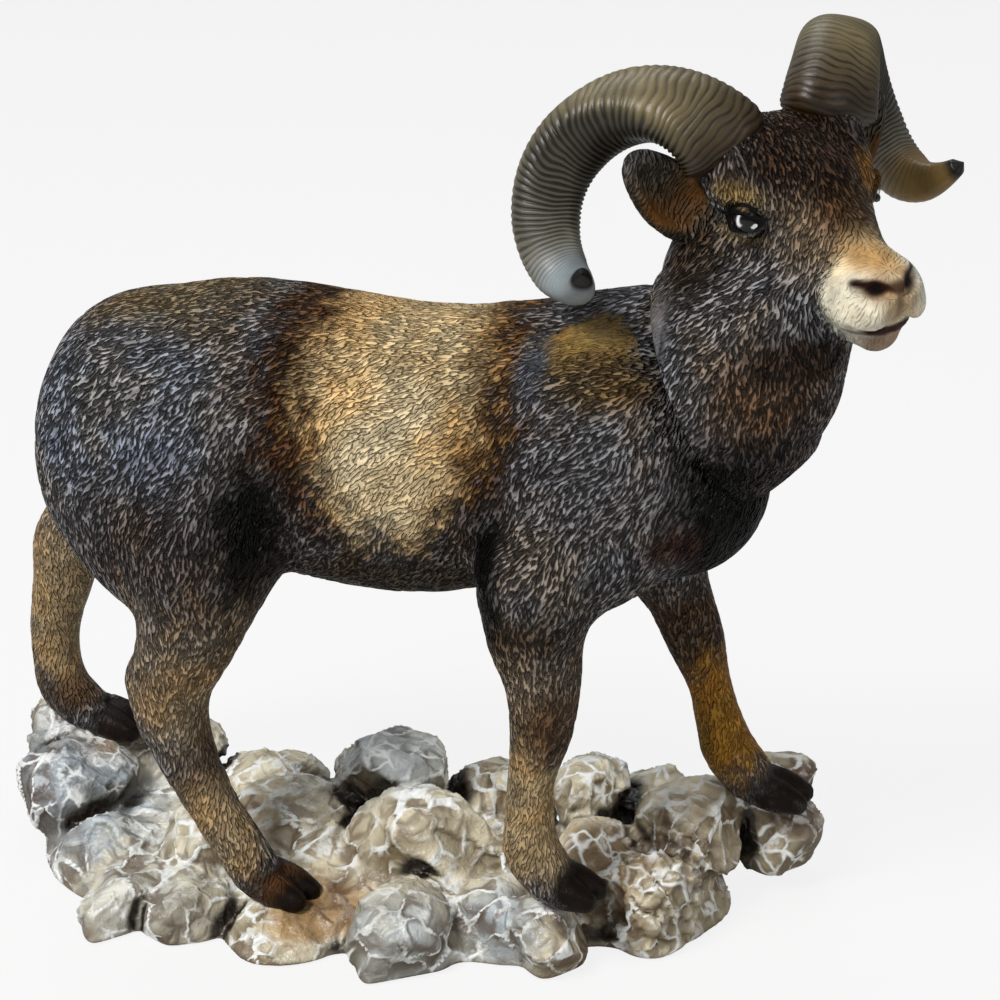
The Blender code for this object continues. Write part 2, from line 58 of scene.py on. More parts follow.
class Side(Enum):
    """The ram's own sides; the value is the sign of Y."""

    LEFT = 1.0
    RIGHT = -1.0


class Pigment(Enum):
    """Paints of the figure, as 8-bit sRGB."""

    COAT = (112, 109, 109)
    # painted sheen: a blue-grey reflection laid into the coat
    COAT_BLUE_SHEEN = (118, 125, 136)
    COAT_BROWN = (98, 72, 46)
    BLACK_AND_SHADE = (7, 6, 5)
    # black paint, and painted shade in the groin, the crease behind the shoulder, the chest and throat and
    # the nostrils
    UMBER = (74, 46, 18)
    WARM_DARK = (66, 50, 42)
    OLIVE_BROWN = (118, 102, 76)
    SADDLE_EDGE = (140, 102, 52)
    SADDLE = (210, 182, 134)
    # the saddle's pale middle: partly its own paint, partly a painted highlight where the flank bulges
    SADDLE_PALE_AND_HIGHLIGHT = (230, 208, 166)
    BELLY = (66, 55, 44)
    OXIDE = (62, 28, 14)
    WITHERS = (146, 116, 62)
    # slate grey: the colour of the rear stones, and a bluish-grey sheen painted on the withers
    SLATE_AND_SHEEN = (96, 98, 104)
    LEG_GREY = (134, 118, 98)
    LEG_BEIGE = (178, 154, 116)
    LEG_OCHRE = (166, 120, 46)
    KNEE = (92, 70, 50)
    HOOF = (22, 14, 9)
    HOOF_BROWN = (70, 44, 22)
    BROW = (160, 138, 96)
    FAR_BROW = (140, 100, 40)
    MUZZLE = (226, 219, 196)
    MUZZLE_TOP = (178, 148, 104)
    LIP_LINE = (46, 18, 9)
    CHIN = (134, 92, 56)
    EAR_INSIDE = (96, 66, 32)
    EAR_RIM = (82, 75, 66)
    FOREHEAD = (54, 40, 30)
    MANE_BROWN = (106, 88, 62)
    HORN_OLIVE = (114, 103, 74)
    HORN_BROWN = (48, 32, 11)
    HORN_GREY = (124, 122, 112)
    HORN_TIP = (128, 138, 144)
    HORN_DARK = (38, 38, 32)
    STONE_GREY = (212, 203, 178)
    STONE_BLUE = (172, 188, 202)
    STONE_OCHRE = (132, 104, 64)
    STONE_RUST = (78, 46, 22)
    STONE_TAN = (176, 142, 98)
    # nearly black: painted shade in the hollows between the stones
    STONE_SHADE = (36, 29, 22)
    CHALK = (246, 249, 248)
    EYE_BLACK = (7, 7, 8)
    EYE_IRIS = (20, 27, 32)
    # white of the painted highlights on the eyes
    EYE_HIGHLIGHT = (236, 240, 240)

    @property
    def linear(self) -> np.ndarray:
        """The paint as linear red, green and blue."""
        share = np.array(self.value) / 255.0
        return np.where(share <= 0.04045, share / 12.92, ((share + 0.055) / 1.055) ** 2.4)

    @property
    def rgba(self) -> tuple[float, float, float, float]:
        """The paint as a colour socket takes it."""
        return (*(float(value) for value in self.linear), 1.0)


def smooth_step(low: float, high: float, value: np.ndarray) -> np.ndarray:
    """0 below low, 1 above high, and a smooth S between."""
    t = np.clip((value - low) / (high - low), 0.0, 1.0)
    return t * t * (3.0 - 2.0 * t)


def softened(near: np.ndarray, far: np.ndarray, softness: float) -> np.ndarray:
    """Smooth minimum of two fields: the forms run into each other over about the softness."""
    mix = np.clip(0.5 + 0.5 * (far - near) / softness, 0.0, 1.0)
    return far + (near - far) * mix - softness * mix * (1.0 - mix)


def unit(vectors: np.ndarray) -> np.ndarray:
    """The vectors at length one."""
    return vectors / np.maximum(np.linalg.norm(vectors, axis=-1, keepdims=True), 1e-9)


def curve_through(stations: np.ndarray, per_span: int) -> np.ndarray:
    """Catmull-Rom curve: each span is a cubic through its ends, with slopes from their neighbours.

    Args:
        stations: One row per station; all its columns are carried along.
        per_span: Points in each span.

    Returns:
        The rows of the curve, the last station included.
    """
    held = np.vstack([2 * stations[0] - stations[1], stations, 2 * stations[-1] - stations[-2]])
    t = (np.arange(per_span) / per_span)[None, :, None]
    before, start, end, after = (held[i : len(held) - 3 + i, None] for i in range(4))
    spans = 0.5 * (
        2 * start
        + (end - before) * t
        + (2 * before - 5 * start + 4 * end - after) * t**2
        + (3 * start - before - 3 * end + after) * t**3
    )
    return np.vstack([spans.reshape(-1, stations.shape[1]), stations[-1:]])


@dataclass(frozen=True)
class Head:
    """Where the head is and how it is held."""

    eyes_at: tuple[float, float, float] = (56.2, -3.0, 125.8)
    yaw: float = -45.0
    pitch: float = 9.0
    roll: float = 7.0

    @property
    def axes(self) -> np.ndarray:
        """How the head is turned, by its yaw, then its pitch, then its roll.

        Returns:
            Its forward, left and up directions, as rows.
        """
        yaw, pitch, roll = (math.radians(angle) for angle in (self.yaw, self.pitch, self.roll))
        level = np.array([math.cos(yaw), math.sin(yaw), 0.0])
        level_left = np.array([-math.sin(yaw), math.cos(yaw), 0.0])
        forward = math.cos(pitch) * level - math.sin(pitch) * np.array([0.0, 0.0, 1.0])
        up = np.cross(forward, level_left)
        left = math.cos(roll) * level_left + math.sin(roll) * up
        return np.array([forward, left, np.cross(forward, left)])

    def out(self, points: Sequence | np.ndarray) -> np.ndarray:
        """Points of the head's frame, in the figure's frame."""
        return np.array(self.eyes_at) + np.asarray(points, float) @ self.axes

    def into(self, points: np.ndarray) -> np.ndarray:
        """Points of the figure's frame, in the head's frame."""
        return (points - np.array(self.eyes_at)) @ self.axes.T


HEAD = Head()


class Limb:
    """A round section swept along a smooth line. Each station is x, y, z and radius."""

    def __init__(
        self, *stations: Sequence, flat: Sequence = (0, 1, 0), squash: float = 1.0, spans: int = 4
    ) -> None:
        """Works out the smooth line.

        Args:
            stations: x, y, z and radius of each.
            flat: Direction in which the section is flattened.
            squash: Its radius in that direction, as a share of the radius across it.
            spans: Straight pieces between two stations.
        """
        curve = curve_through(np.array(stations, float), spans)
        self.line = curve[:, :3]
        self.radii = curve[:, 3]
        self.flat = unit(np.array(flat, float))
        self.squash = squash
        reach = self.radii[:, None]
        self.low = (self.line - reach).min(axis=0)
        self.high = (self.line + reach).max(axis=0)

    def stretched(self, points: np.ndarray) -> np.ndarray:
        """Points in a space where the flattened section is round."""
        return points + (points @ self.flat)[..., None] * self.flat * (1.0 / self.squash - 1.0)

    def distance(self, points: np.ndarray) -> np.ndarray:
        """Least of the distances to the spans of the line, less the radius there.

        Args:
            points: Places in the figure's frame.

        Returns:
            The distance at each, below zero inside.
        """
        line = self.stretched(self.line)
        points = self.stretched(points)
        nearest = np.full(len(points), np.inf)
        for i in range(len(line) - 1):
            along = line[i + 1] - line[i]
            t = np.clip((points - line[i]) @ along / (along @ along), 0.0, 1.0)
            gap = np.linalg.norm(points - line[i] - t[:, None] * along, axis=1)
            nearest = np.minimum(nearest, gap - self.radii[i] - (self.radii[i + 1] - self.radii[i]) * t)
        return nearest


class Muscle:
    """An ellipsoid, turned by its axes: rows are its own x, y and z directions."""

    def __init__(self, centre: Sequence, radii: Sequence, axes: np.ndarray = np.eye(3)) -> None:
        """Works out how far it reaches.

        Args:
            centre: Its middle.
            radii: Its three radii, along its axes.
            axes: Its axes, as rows.
        """
        self.centre = np.array(centre, float)
        self.radii = np.array(radii, float)
        self.axes = np.array(axes, float)
        reach = np.sqrt(((self.axes * self.radii[:, None]) ** 2).sum(axis=0))
        self.low = self.centre - reach
        self.high = self.centre + reach

    def distance(self, points: np.ndarray) -> np.ndarray:
        """Scaled radius less one, over its slope: close to the distance near the surface.

        Args:
            points: Places in the figure's frame.

        Returns:
            The field at each, below zero inside.
        """
        local = (points - self.centre) @ self.axes.T
        near = np.linalg.norm(local / self.radii, axis=1)
        steep = np.linalg.norm(local / self.radii**2, axis=1)
        return near * (near - 1.0) / np.maximum(steep, 1e-6)


class Stone:
    """A boulder: an ellipsoid with flats struck off it at seeded random angles."""

    FLATS = 11

    def __init__(self, centre: Sequence, radii: Sequence, seed: int) -> None:
        """Draws the flats.

        Args:
            centre: Its middle.
            radii: Half its length, depth and height.
            seed: Of the flats' angles and depths.
        """
        self.centre = np.array(centre, float)
        self.radii = np.array(radii, float)
        random = np.random.default_rng(seed)
        self.normals = unit(random.normal(size=(self.FLATS, 3)))
        self.depths = random.uniform(0.68, 0.92, self.FLATS)
        self.low = self.centre - self.radii * 1.05
        self.high = self.centre + self.radii * 1.05

    def distance(self, points: np.ndarray) -> np.ndarray:
        """Greatest of the ellipsoid's field and those of the flats, with rounded arrises.

        Args:
            points: Places in the figure's frame.

        Returns:
            The field at each, below zero inside.
        """
        local = (points - self.centre) / self.radii
        value = np.linalg.norm(local, axis=1) - 1.0
        for normal, depth in zip(self.normals, self.depths):
            value = -softened(-value, -(local @ normal - depth), 0.10)
        return value * self.radii.min()


class Beyond:
    """All space on one side of a plane."""

    def __init__(self, through: Sequence, towards: Sequence) -> None:
        """Turns the plane.

        Args:
            through: A point of the plane.
            towards: The direction from the plane into the space.
        """
        self.through = np.array(through, float)
        self.towards = unit(np.array(towards, float))
        self.low = np.full(3, -1e3)
        self.high = np.full(3, 1e3)

    def distance(self, points: np.ndarray) -> np.ndarray:
        """Distance to the plane, below zero on its far side."""
        return -((points - self.through) @ self.towards)


@dataclass(frozen=True)
class Touch:
    """One move of the sculptor's hand: a shape added to the clay or carved out of it."""

    shape: Limb | Muscle | Stone | Beyond
    softness: float
    carves: bool = False

    def on(self, value: np.ndarray, points: np.ndarray) -> np.ndarray:
        """The clay's field after this touch.

        Args:
            value: The field before it.
            points: Where the field is worked out.

        Returns:
            The smooth minimum with the shape's field, or the smooth maximum with its negative.
        """
        distance = self.shape.distance(points)
        if self.carves:
            return -softened(-value, distance, self.softness)
        return softened(value, distance, self.softness)


@dataclass
class Skin:
    """A surface of four-sided faces, in millimetres."""

    vertices: np.ndarray
    faces: np.ndarray

    def normals(self) -> np.ndarray:
        """Vertex normals: the sum of the cross products of the diagonals of the faces round a vertex.

        Returns:
            A unit vector per vertex.
        """
        a, b, c, d = (self.vertices[self.faces[:, i]] for i in range(4))
        across = np.cross(c - a, d - b)
        total = np.stack(
            [
                np.bincount(self.faces.ravel(), np.repeat(across[:, k], 4), len(self.vertices))
                for k in range(3)
            ],
            axis=-1,
        )
        return unit(total)

    def relax(self, times: int) -> None:
        """Moves each vertex half of the way to the mean of its neighbours.

        Args:
            times: How often.
        """
        pairs = np.concatenate([self.faces[:, [i, (i + 1) % 4]] for i in range(4)])
        ends = np.concatenate([pairs[:, 0], pairs[:, 1]])
        others = np.concatenate([pairs[:, 1], pairs[:, 0]])
        count = np.bincount(ends, minlength=len(self.vertices))[:, None]
        for _ in range(times):
            total = np.stack(
                [np.bincount(ends, self.vertices[others, k], len(self.vertices)) for k in range(3)], axis=-1
            )
            self.vertices = 0.5 * self.vertices + 0.5 * total / count


@dataclass
class Clay:
    """A block of clay: a field that is below zero inside, built by touches one after another."""

    touches: list[Touch] = field(default_factory=list)

    BLOCK = 4  # lattice steps along the side of a block
    FAR = 9.0  # the field where no shape is near

    def add(self, shape: Limb | Muscle | Stone, softness: float = 0.5) -> None:
        """Blends a shape onto the clay."""
        self.touches.append(Touch(shape, softness))

    def carve(self, shape: Limb | Muscle | Beyond, softness: float = 0.5) -> None:
        """Takes a shape out of the clay."""
        self.touches.append(Touch(shape, softness, carves=True))

    def values(self, groups: np.ndarray) -> np.ndarray:
        """The field at groups of points; a touch is worked out only for the groups that it can reach.

        Args:
            groups: Array of group, point and coordinate.

        Returns:
            The value at each group and point.
        """
        values = np.full(groups.shape[:2], self.FAR)
        low = groups.min(axis=1)
        high = groups.max(axis=1)
        for touch in self.touches:
            margin = touch.softness + 3.0
            near = (high > touch.shape.low - margin).all(axis=1)
            near &= (low < touch.shape.high + margin).all(axis=1)
            if near.any():
                points = groups[near].reshape(-1, 3)
                values[near] = touch.on(values[near].ravel(), points).reshape(-1, groups.shape[1])
        return values

    def at(self, points: np.ndarray) -> np.ndarray:
        """The field at single points."""
        return self.values(points[:, None])[:, 0]

    def skin(self, low: Sequence, high: Sequence, step: float) -> Skin:
        """Surface nets: a vertex in each cell that the zero surface crosses, at the mean of its crossings.

        The field is worked out first once per block of lattice points, then at every point of the blocks
        that the surface can pass.

        Args:
            low: Lowest corner of the lattice.
            high: Highest corner.
            step: Lattice step.

        Returns:
            The skin, with faces that point outwards.
        """
        low = np.array(low, float)
        blocks = np.ceil((np.array(high) - low) / (step * self.BLOCK)).astype(int)
        corners = np.indices(blocks).reshape(3, -1).T
        middles = low + (corners * self.BLOCK + (self.BLOCK - 1) / 2) * step
        rough = np.concatenate([self.values(part[:, None])[:, 0] for part in np.array_split(middles, 32)])
        inner = np.indices((self.BLOCK,) * 3).reshape(3, -1).T
        lattice = np.repeat(np.sign(rough)[:, None], self.BLOCK**3, axis=1).astype(np.float32)
        near = np.flatnonzero(np.abs(rough) < 5.5 * step)
        for part in np.array_split(near, 16):
            lattice[part] = self.values(low + (corners[part][:, None] * self.BLOCK + inner) * step)
        lattice = lattice.reshape(*blocks, *(self.BLOCK,) * 3).transpose(0, 3, 1, 4, 2, 5)
        return net(lattice.reshape(blocks * self.BLOCK), low, step)


def sunk(clay: Clay, points: np.ndarray, normals: np.ndarray, reaches: Sequence[float]) -> np.ndarray:
    """How deep in a hollow each point of a skin lies: nothing in the open, one at the bottom of a crease.

    It looks out along the normal and asks how far that place is from the clay, as a share of the reach.

    Args:
        clay: The clay that the skin was taken from.
        points: Vertices of the skin.
        normals: Their normals.
        reaches: How far it looks out, in several steps whose shares are averaged.

    Returns:
        The value at each vertex.
    """
    open_air = [clay.at(points + reach * normals) / reach for reach in reaches]
    return 1.0 - smooth_step(0.0, 0.9, np.mean(open_air, axis=0))


def net(values: np.ndarray, low: np.ndarray, step: float) -> Skin:
    """The surface net of a lattice of values: one face round each lattice edge that changes sign.

    Args:
        values: The field at the lattice points.
        low: Place of the first lattice point.
        step: Lattice step.

    Returns:
        The net, with faces that point to the positive side.
    """
    inside = values < 0
    cells = tuple(n - 1 for n in values.shape)
    rings = []
    crossings = []
    for axis in range(3):
        first = [slice(None)] * 3
        second = [slice(None)] * 3
        first[axis] = slice(None, -1)
        second[axis] = slice(1, None)
        start = np.argwhere(inside[tuple(first)] != inside[tuple(second)])
        end = start.copy()
        end[:, axis] += 1
        a = values[tuple(start.T)]
        b = values[tuple(end.T)]
        crossings.append(start + (end - start) * (a / (a - b))[:, None])
        others = [k for k in range(3) if k != axis]
        ring = []
        for back in ((0, 0), (1, 0), (1, 1), (0, 1)):
            cell = start.copy()
            cell[:, others[0]] -= back[0]
            cell[:, others[1]] -= back[1]
            ring.append(np.ravel_multi_index(tuple(cell.T), cells))
        ring = np.stack(ring, axis=-1)
        leaving = inside[tuple(start.T)] != (axis == 1)
        rings.append(np.where(leaving[:, None], ring, ring[:, ::-1]))
    rings = np.concatenate(rings)
    crossings = np.repeat(np.concatenate(crossings), 4, axis=0)
    _, number = np.unique(rings.ravel(), return_inverse=True)
    count = np.bincount(number)
    middle = np.stack([np.bincount(number, crossings[:, k]) / count for k in range(3)], axis=-1)
    return Skin(low + middle * step, number.reshape(-1, 4))


@dataclass(frozen=True)
class Clouds:
    """A cloudy random field: seeded values on a cubic lattice, joined smoothly."""

    size: float
    seed: int

    SIDE = 48

    def at(self, points: np.ndarray) -> np.ndarray:
        """Blend of the eight lattice values round each point, weighted by an S curve along each axis.

        Args:
            points: Places; the lattice is tilted against their axes, and repeats.

        Returns:
            The field at each, from -1 to 1.
        """
        lattice = np.random.default_rng(self.seed).uniform(-1.0, 1.0, (self.SIDE,) * 3)
        place = points @ TILTED.T / self.size
        cell = np.floor(place).astype(int)
        share = smooth_step(0.0, 1.0, place - cell)
        total = np.zeros(len(points))
        for corner in np.ndindex(2, 2, 2):
            weight = np.where(np.array(corner) == 1, share, 1.0 - share).prod(axis=1)
            total += weight * lattice[tuple(((cell + corner) % self.SIDE).T)]
        return total


TILTED = np.linalg.qr(np.array([[1.0, 0.4, 0.3], [0.2, 1.0, 0.5], [-0.4, 0.1, 1.0]]))[0]


def mirrored(points: np.ndarray) -> np.ndarray:
    """The points with those on the right side moved to the left side's places."""
    return np.column_stack([points[:, 0], np.abs(points[:, 1]), points[:, 2]])


@dataclass(frozen=True)
class Spray:
    """A soft-edged patch of paint inside an ellipsoid, with how the carving shows there."""

    centre: tuple[float, float, float]
    radii: tuple[float, float, float]
    pigment: Pigment
    wash: float = 0.9  # how much darker the grooves are
    relief: float = 1.0  # depth of the carved strokes
    softness: float = 0.35
    strength: float = 1.0


@dataclass
class Painting:
    """Paint, wash and relief at each vertex."""

    ridge: np.ndarray
    wash: np.ndarray
    relief: np.ndarray

    @classmethod
    def ground(cls, count: int, pigment: Pigment, wash: float, relief: float) -> "Painting":
        """One coat of paint all over."""
        return cls(np.tile(pigment.linear, (count, 1)), np.full(count, wash), np.full(count, relief))

    def layers(self) -> dict[str, np.ndarray]:
        """The values as vertex layers; the paint is a colour."""
        opaque = np.ones((len(self.ridge), 1))
        return {"paint": np.hstack([self.ridge, opaque]), "wash": self.wash, "relief": self.relief}

    def shade_hollows(self, hollow: np.ndarray) -> None:
        """Darkens the paint in the hollows: painted shade, and the dark wash that pools there."""
        self.ridge *= 1.0 - 0.94 * smooth_step(0.15, 0.75, hollow)[:, None]

    def lay(self, points: np.ndarray, sprays: Sequence[Spray], raggedness: float = 0.12) -> None:
        """Sprays the patches one over another; the edge of each wavers with a cloudy field.

        Args:
            points: Where the vertices are, in the frame of the sprays.
            sprays: The patches, first to last.
            raggedness: How far the edge wavers, as a share of the radius.
        """
        waver = raggedness * (Clouds(3.0, 71).at(points) + Clouds(1.1, 72).at(points))
        for spray in sprays:
            reach = np.linalg.norm((points - spray.centre) / spray.radii, axis=1) + waver
            weight = spray.strength * (1.0 - smooth_step(1.0 - spray.softness, 1.0 + spray.softness, reach))
            self.ridge += weight[:, None] * (spray.pigment.linear - self.ridge)
            self.wash += weight * (spray.wash - self.wash)
            self.relief += weight * (spray.relief - self.relief)


@dataclass(frozen=True)
class Hair:
    """Strokes of hair carved into the coat."""

    width: float = 0.7  # of the clouds that make the strokes; a stroke and its groove take about two
    length: float = 3.2
    waviness: float = 0.4  # radians
    depth: float = 0.26
    seed: int = 5

    def combed(self, points: np.ndarray, normals: np.ndarray, lie: np.ndarray) -> np.ndarray:
        """The lie of the coat laid along the skin, wavering to either side with a cloudy field.

        Args:
            points: Vertices of the skin.
            normals: Their normals.
            lie: Direction in which the hair is combed at each.

        Returns:
            The direction along the skin at each.
        """
        lie = unit(lie - (lie * normals).sum(axis=1)[:, None] * normals)
        fine = Clouds(2.4, self.seed + 1).at(points)
        broad = Clouds(6.0, self.seed + 2).at(points)
        turn = self.waviness * (fine + 0.6 * broad)
        return np.cos(turn)[:, None] * lie + np.sin(turn)[:, None] * np.cross(normals, lie)

    def strokes(self, points: np.ndarray, lie: np.ndarray) -> np.ndarray:
        """A cloudy field averaged along the lie of the coat: long thin streaks.

        Args:
            points: Vertices of the skin.
            lie: Direction in which the hair lies at each.

        Returns:
            The streaks, with a mean of zero and a spread of one: below zero in the grooves.
        """
        grain = Clouds(self.width, self.seed)
        total = np.zeros(len(points))
        for share in np.linspace(-0.5, 0.5, 9):
            total += math.cos(math.pi * share) ** 2 * grain.at(points + share * self.length * lie)
        return (total - total.mean()) / total.std()

    def groove(self, strokes: np.ndarray) -> np.ndarray:
        """How deep the tool went: nothing on a ridge, one in a groove."""
        return 1.0 - smooth_step(-1.3, 0.3, strokes)


LAYER_KINDS = {1: ("FLOAT", "value"), 3: ("FLOAT_VECTOR", "vector"), 4: ("FLOAT_COLOR", "color")}


def cap(faces: np.ndarray) -> np.ndarray:
    """Triangles that close a skin's one open edge: a fan from its first vertex, turned to face outwards.

    Args:
        faces: The skin's faces, four vertex numbers each.

    Returns:
        Three vertex numbers per triangle.
    """
    edges = np.concatenate([faces[:, [corner, (corner + 1) % 4]] for corner in range(4)])
    _, first, times = np.unique(np.sort(edges, axis=1), axis=0, return_index=True, return_counts=True)
    rim = edges[first[times == 1]]
    start = rim[0, 0]
    rim = rim[(rim != start).all(axis=1)]
    return np.column_stack([rim[:, ::-1], np.full(len(rim), start)])


def make_object(
    name: str,
    skin: Skin,
    layers: dict[str, np.ndarray],
    normals: np.ndarray | None = None,
    caps: Sequence = (),
) -> bpy.types.Object:
    """Puts a skin into Blender as a smooth-shaded object that rides on the root body.

    Args:
        name: Name of the piece.
        skin: Its surface.
        layers: Values per vertex: four columns make a colour, three a direction and one a number.
        normals: Vertex normals to shade with, where they aren't the mesh's own.
        caps: More faces, which close the skin.

    Returns:
        The object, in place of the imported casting.
    """
    mesh = bpy.data.meshes.new(name)
    mesh.from_pydata(skin.vertices * MM, [], [*skin.faces.tolist(), *caps])
    mesh.shade_smooth()
    for layer, values in layers.items():
        kind, field_name = LAYER_KINDS[values.size // len(values)]
        mesh.attributes.new(layer, kind, "POINT").data.foreach_set(field_name, values.ravel())
    if normals is not None:
        mesh.normals_split_custom_set_from_vertices(normals.tolist())
    piece = bpy.data.objects.new(name, mesh)
    bpy.context.scene.collection.objects.link(piece)
    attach(piece, "root")
    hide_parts(NODE)
    triangles = sum(len(polygon.vertices) - 2 for polygon in mesh.polygons)
    log.info("%s: %d triangles", name, triangles)
    return piece


@dataclass(frozen=True)
class Hoof:
    """A cloven hoof: two toes side by side that point along a heading."""

    toe: tuple[float, float, float]
    heading: float

    def model(self, clay: Clay) -> None:
        """Adds the toes, each a limb from the heel to the tip.

        Args:
            clay: Takes them.
        """
        turn = math.radians(self.heading)
        ahead = np.array([math.cos(turn), math.sin(turn), 0.0])
        aside = np.array([-math.sin(turn), math.cos(turn), 0.0])
        for side in (1.0, -1.0):
            tip = self.toe + aside * side * 2.3 + np.array([0, 0, 1.7])
            heel = self.toe - ahead * 7.0 + aside * side * 1.9 + np.array([0, 0, 3.2])
            clay.add(Limb((*heel, 3.0), (*((tip + heel) / 2), 2.9), (*tip, 1.9)), 0.6)


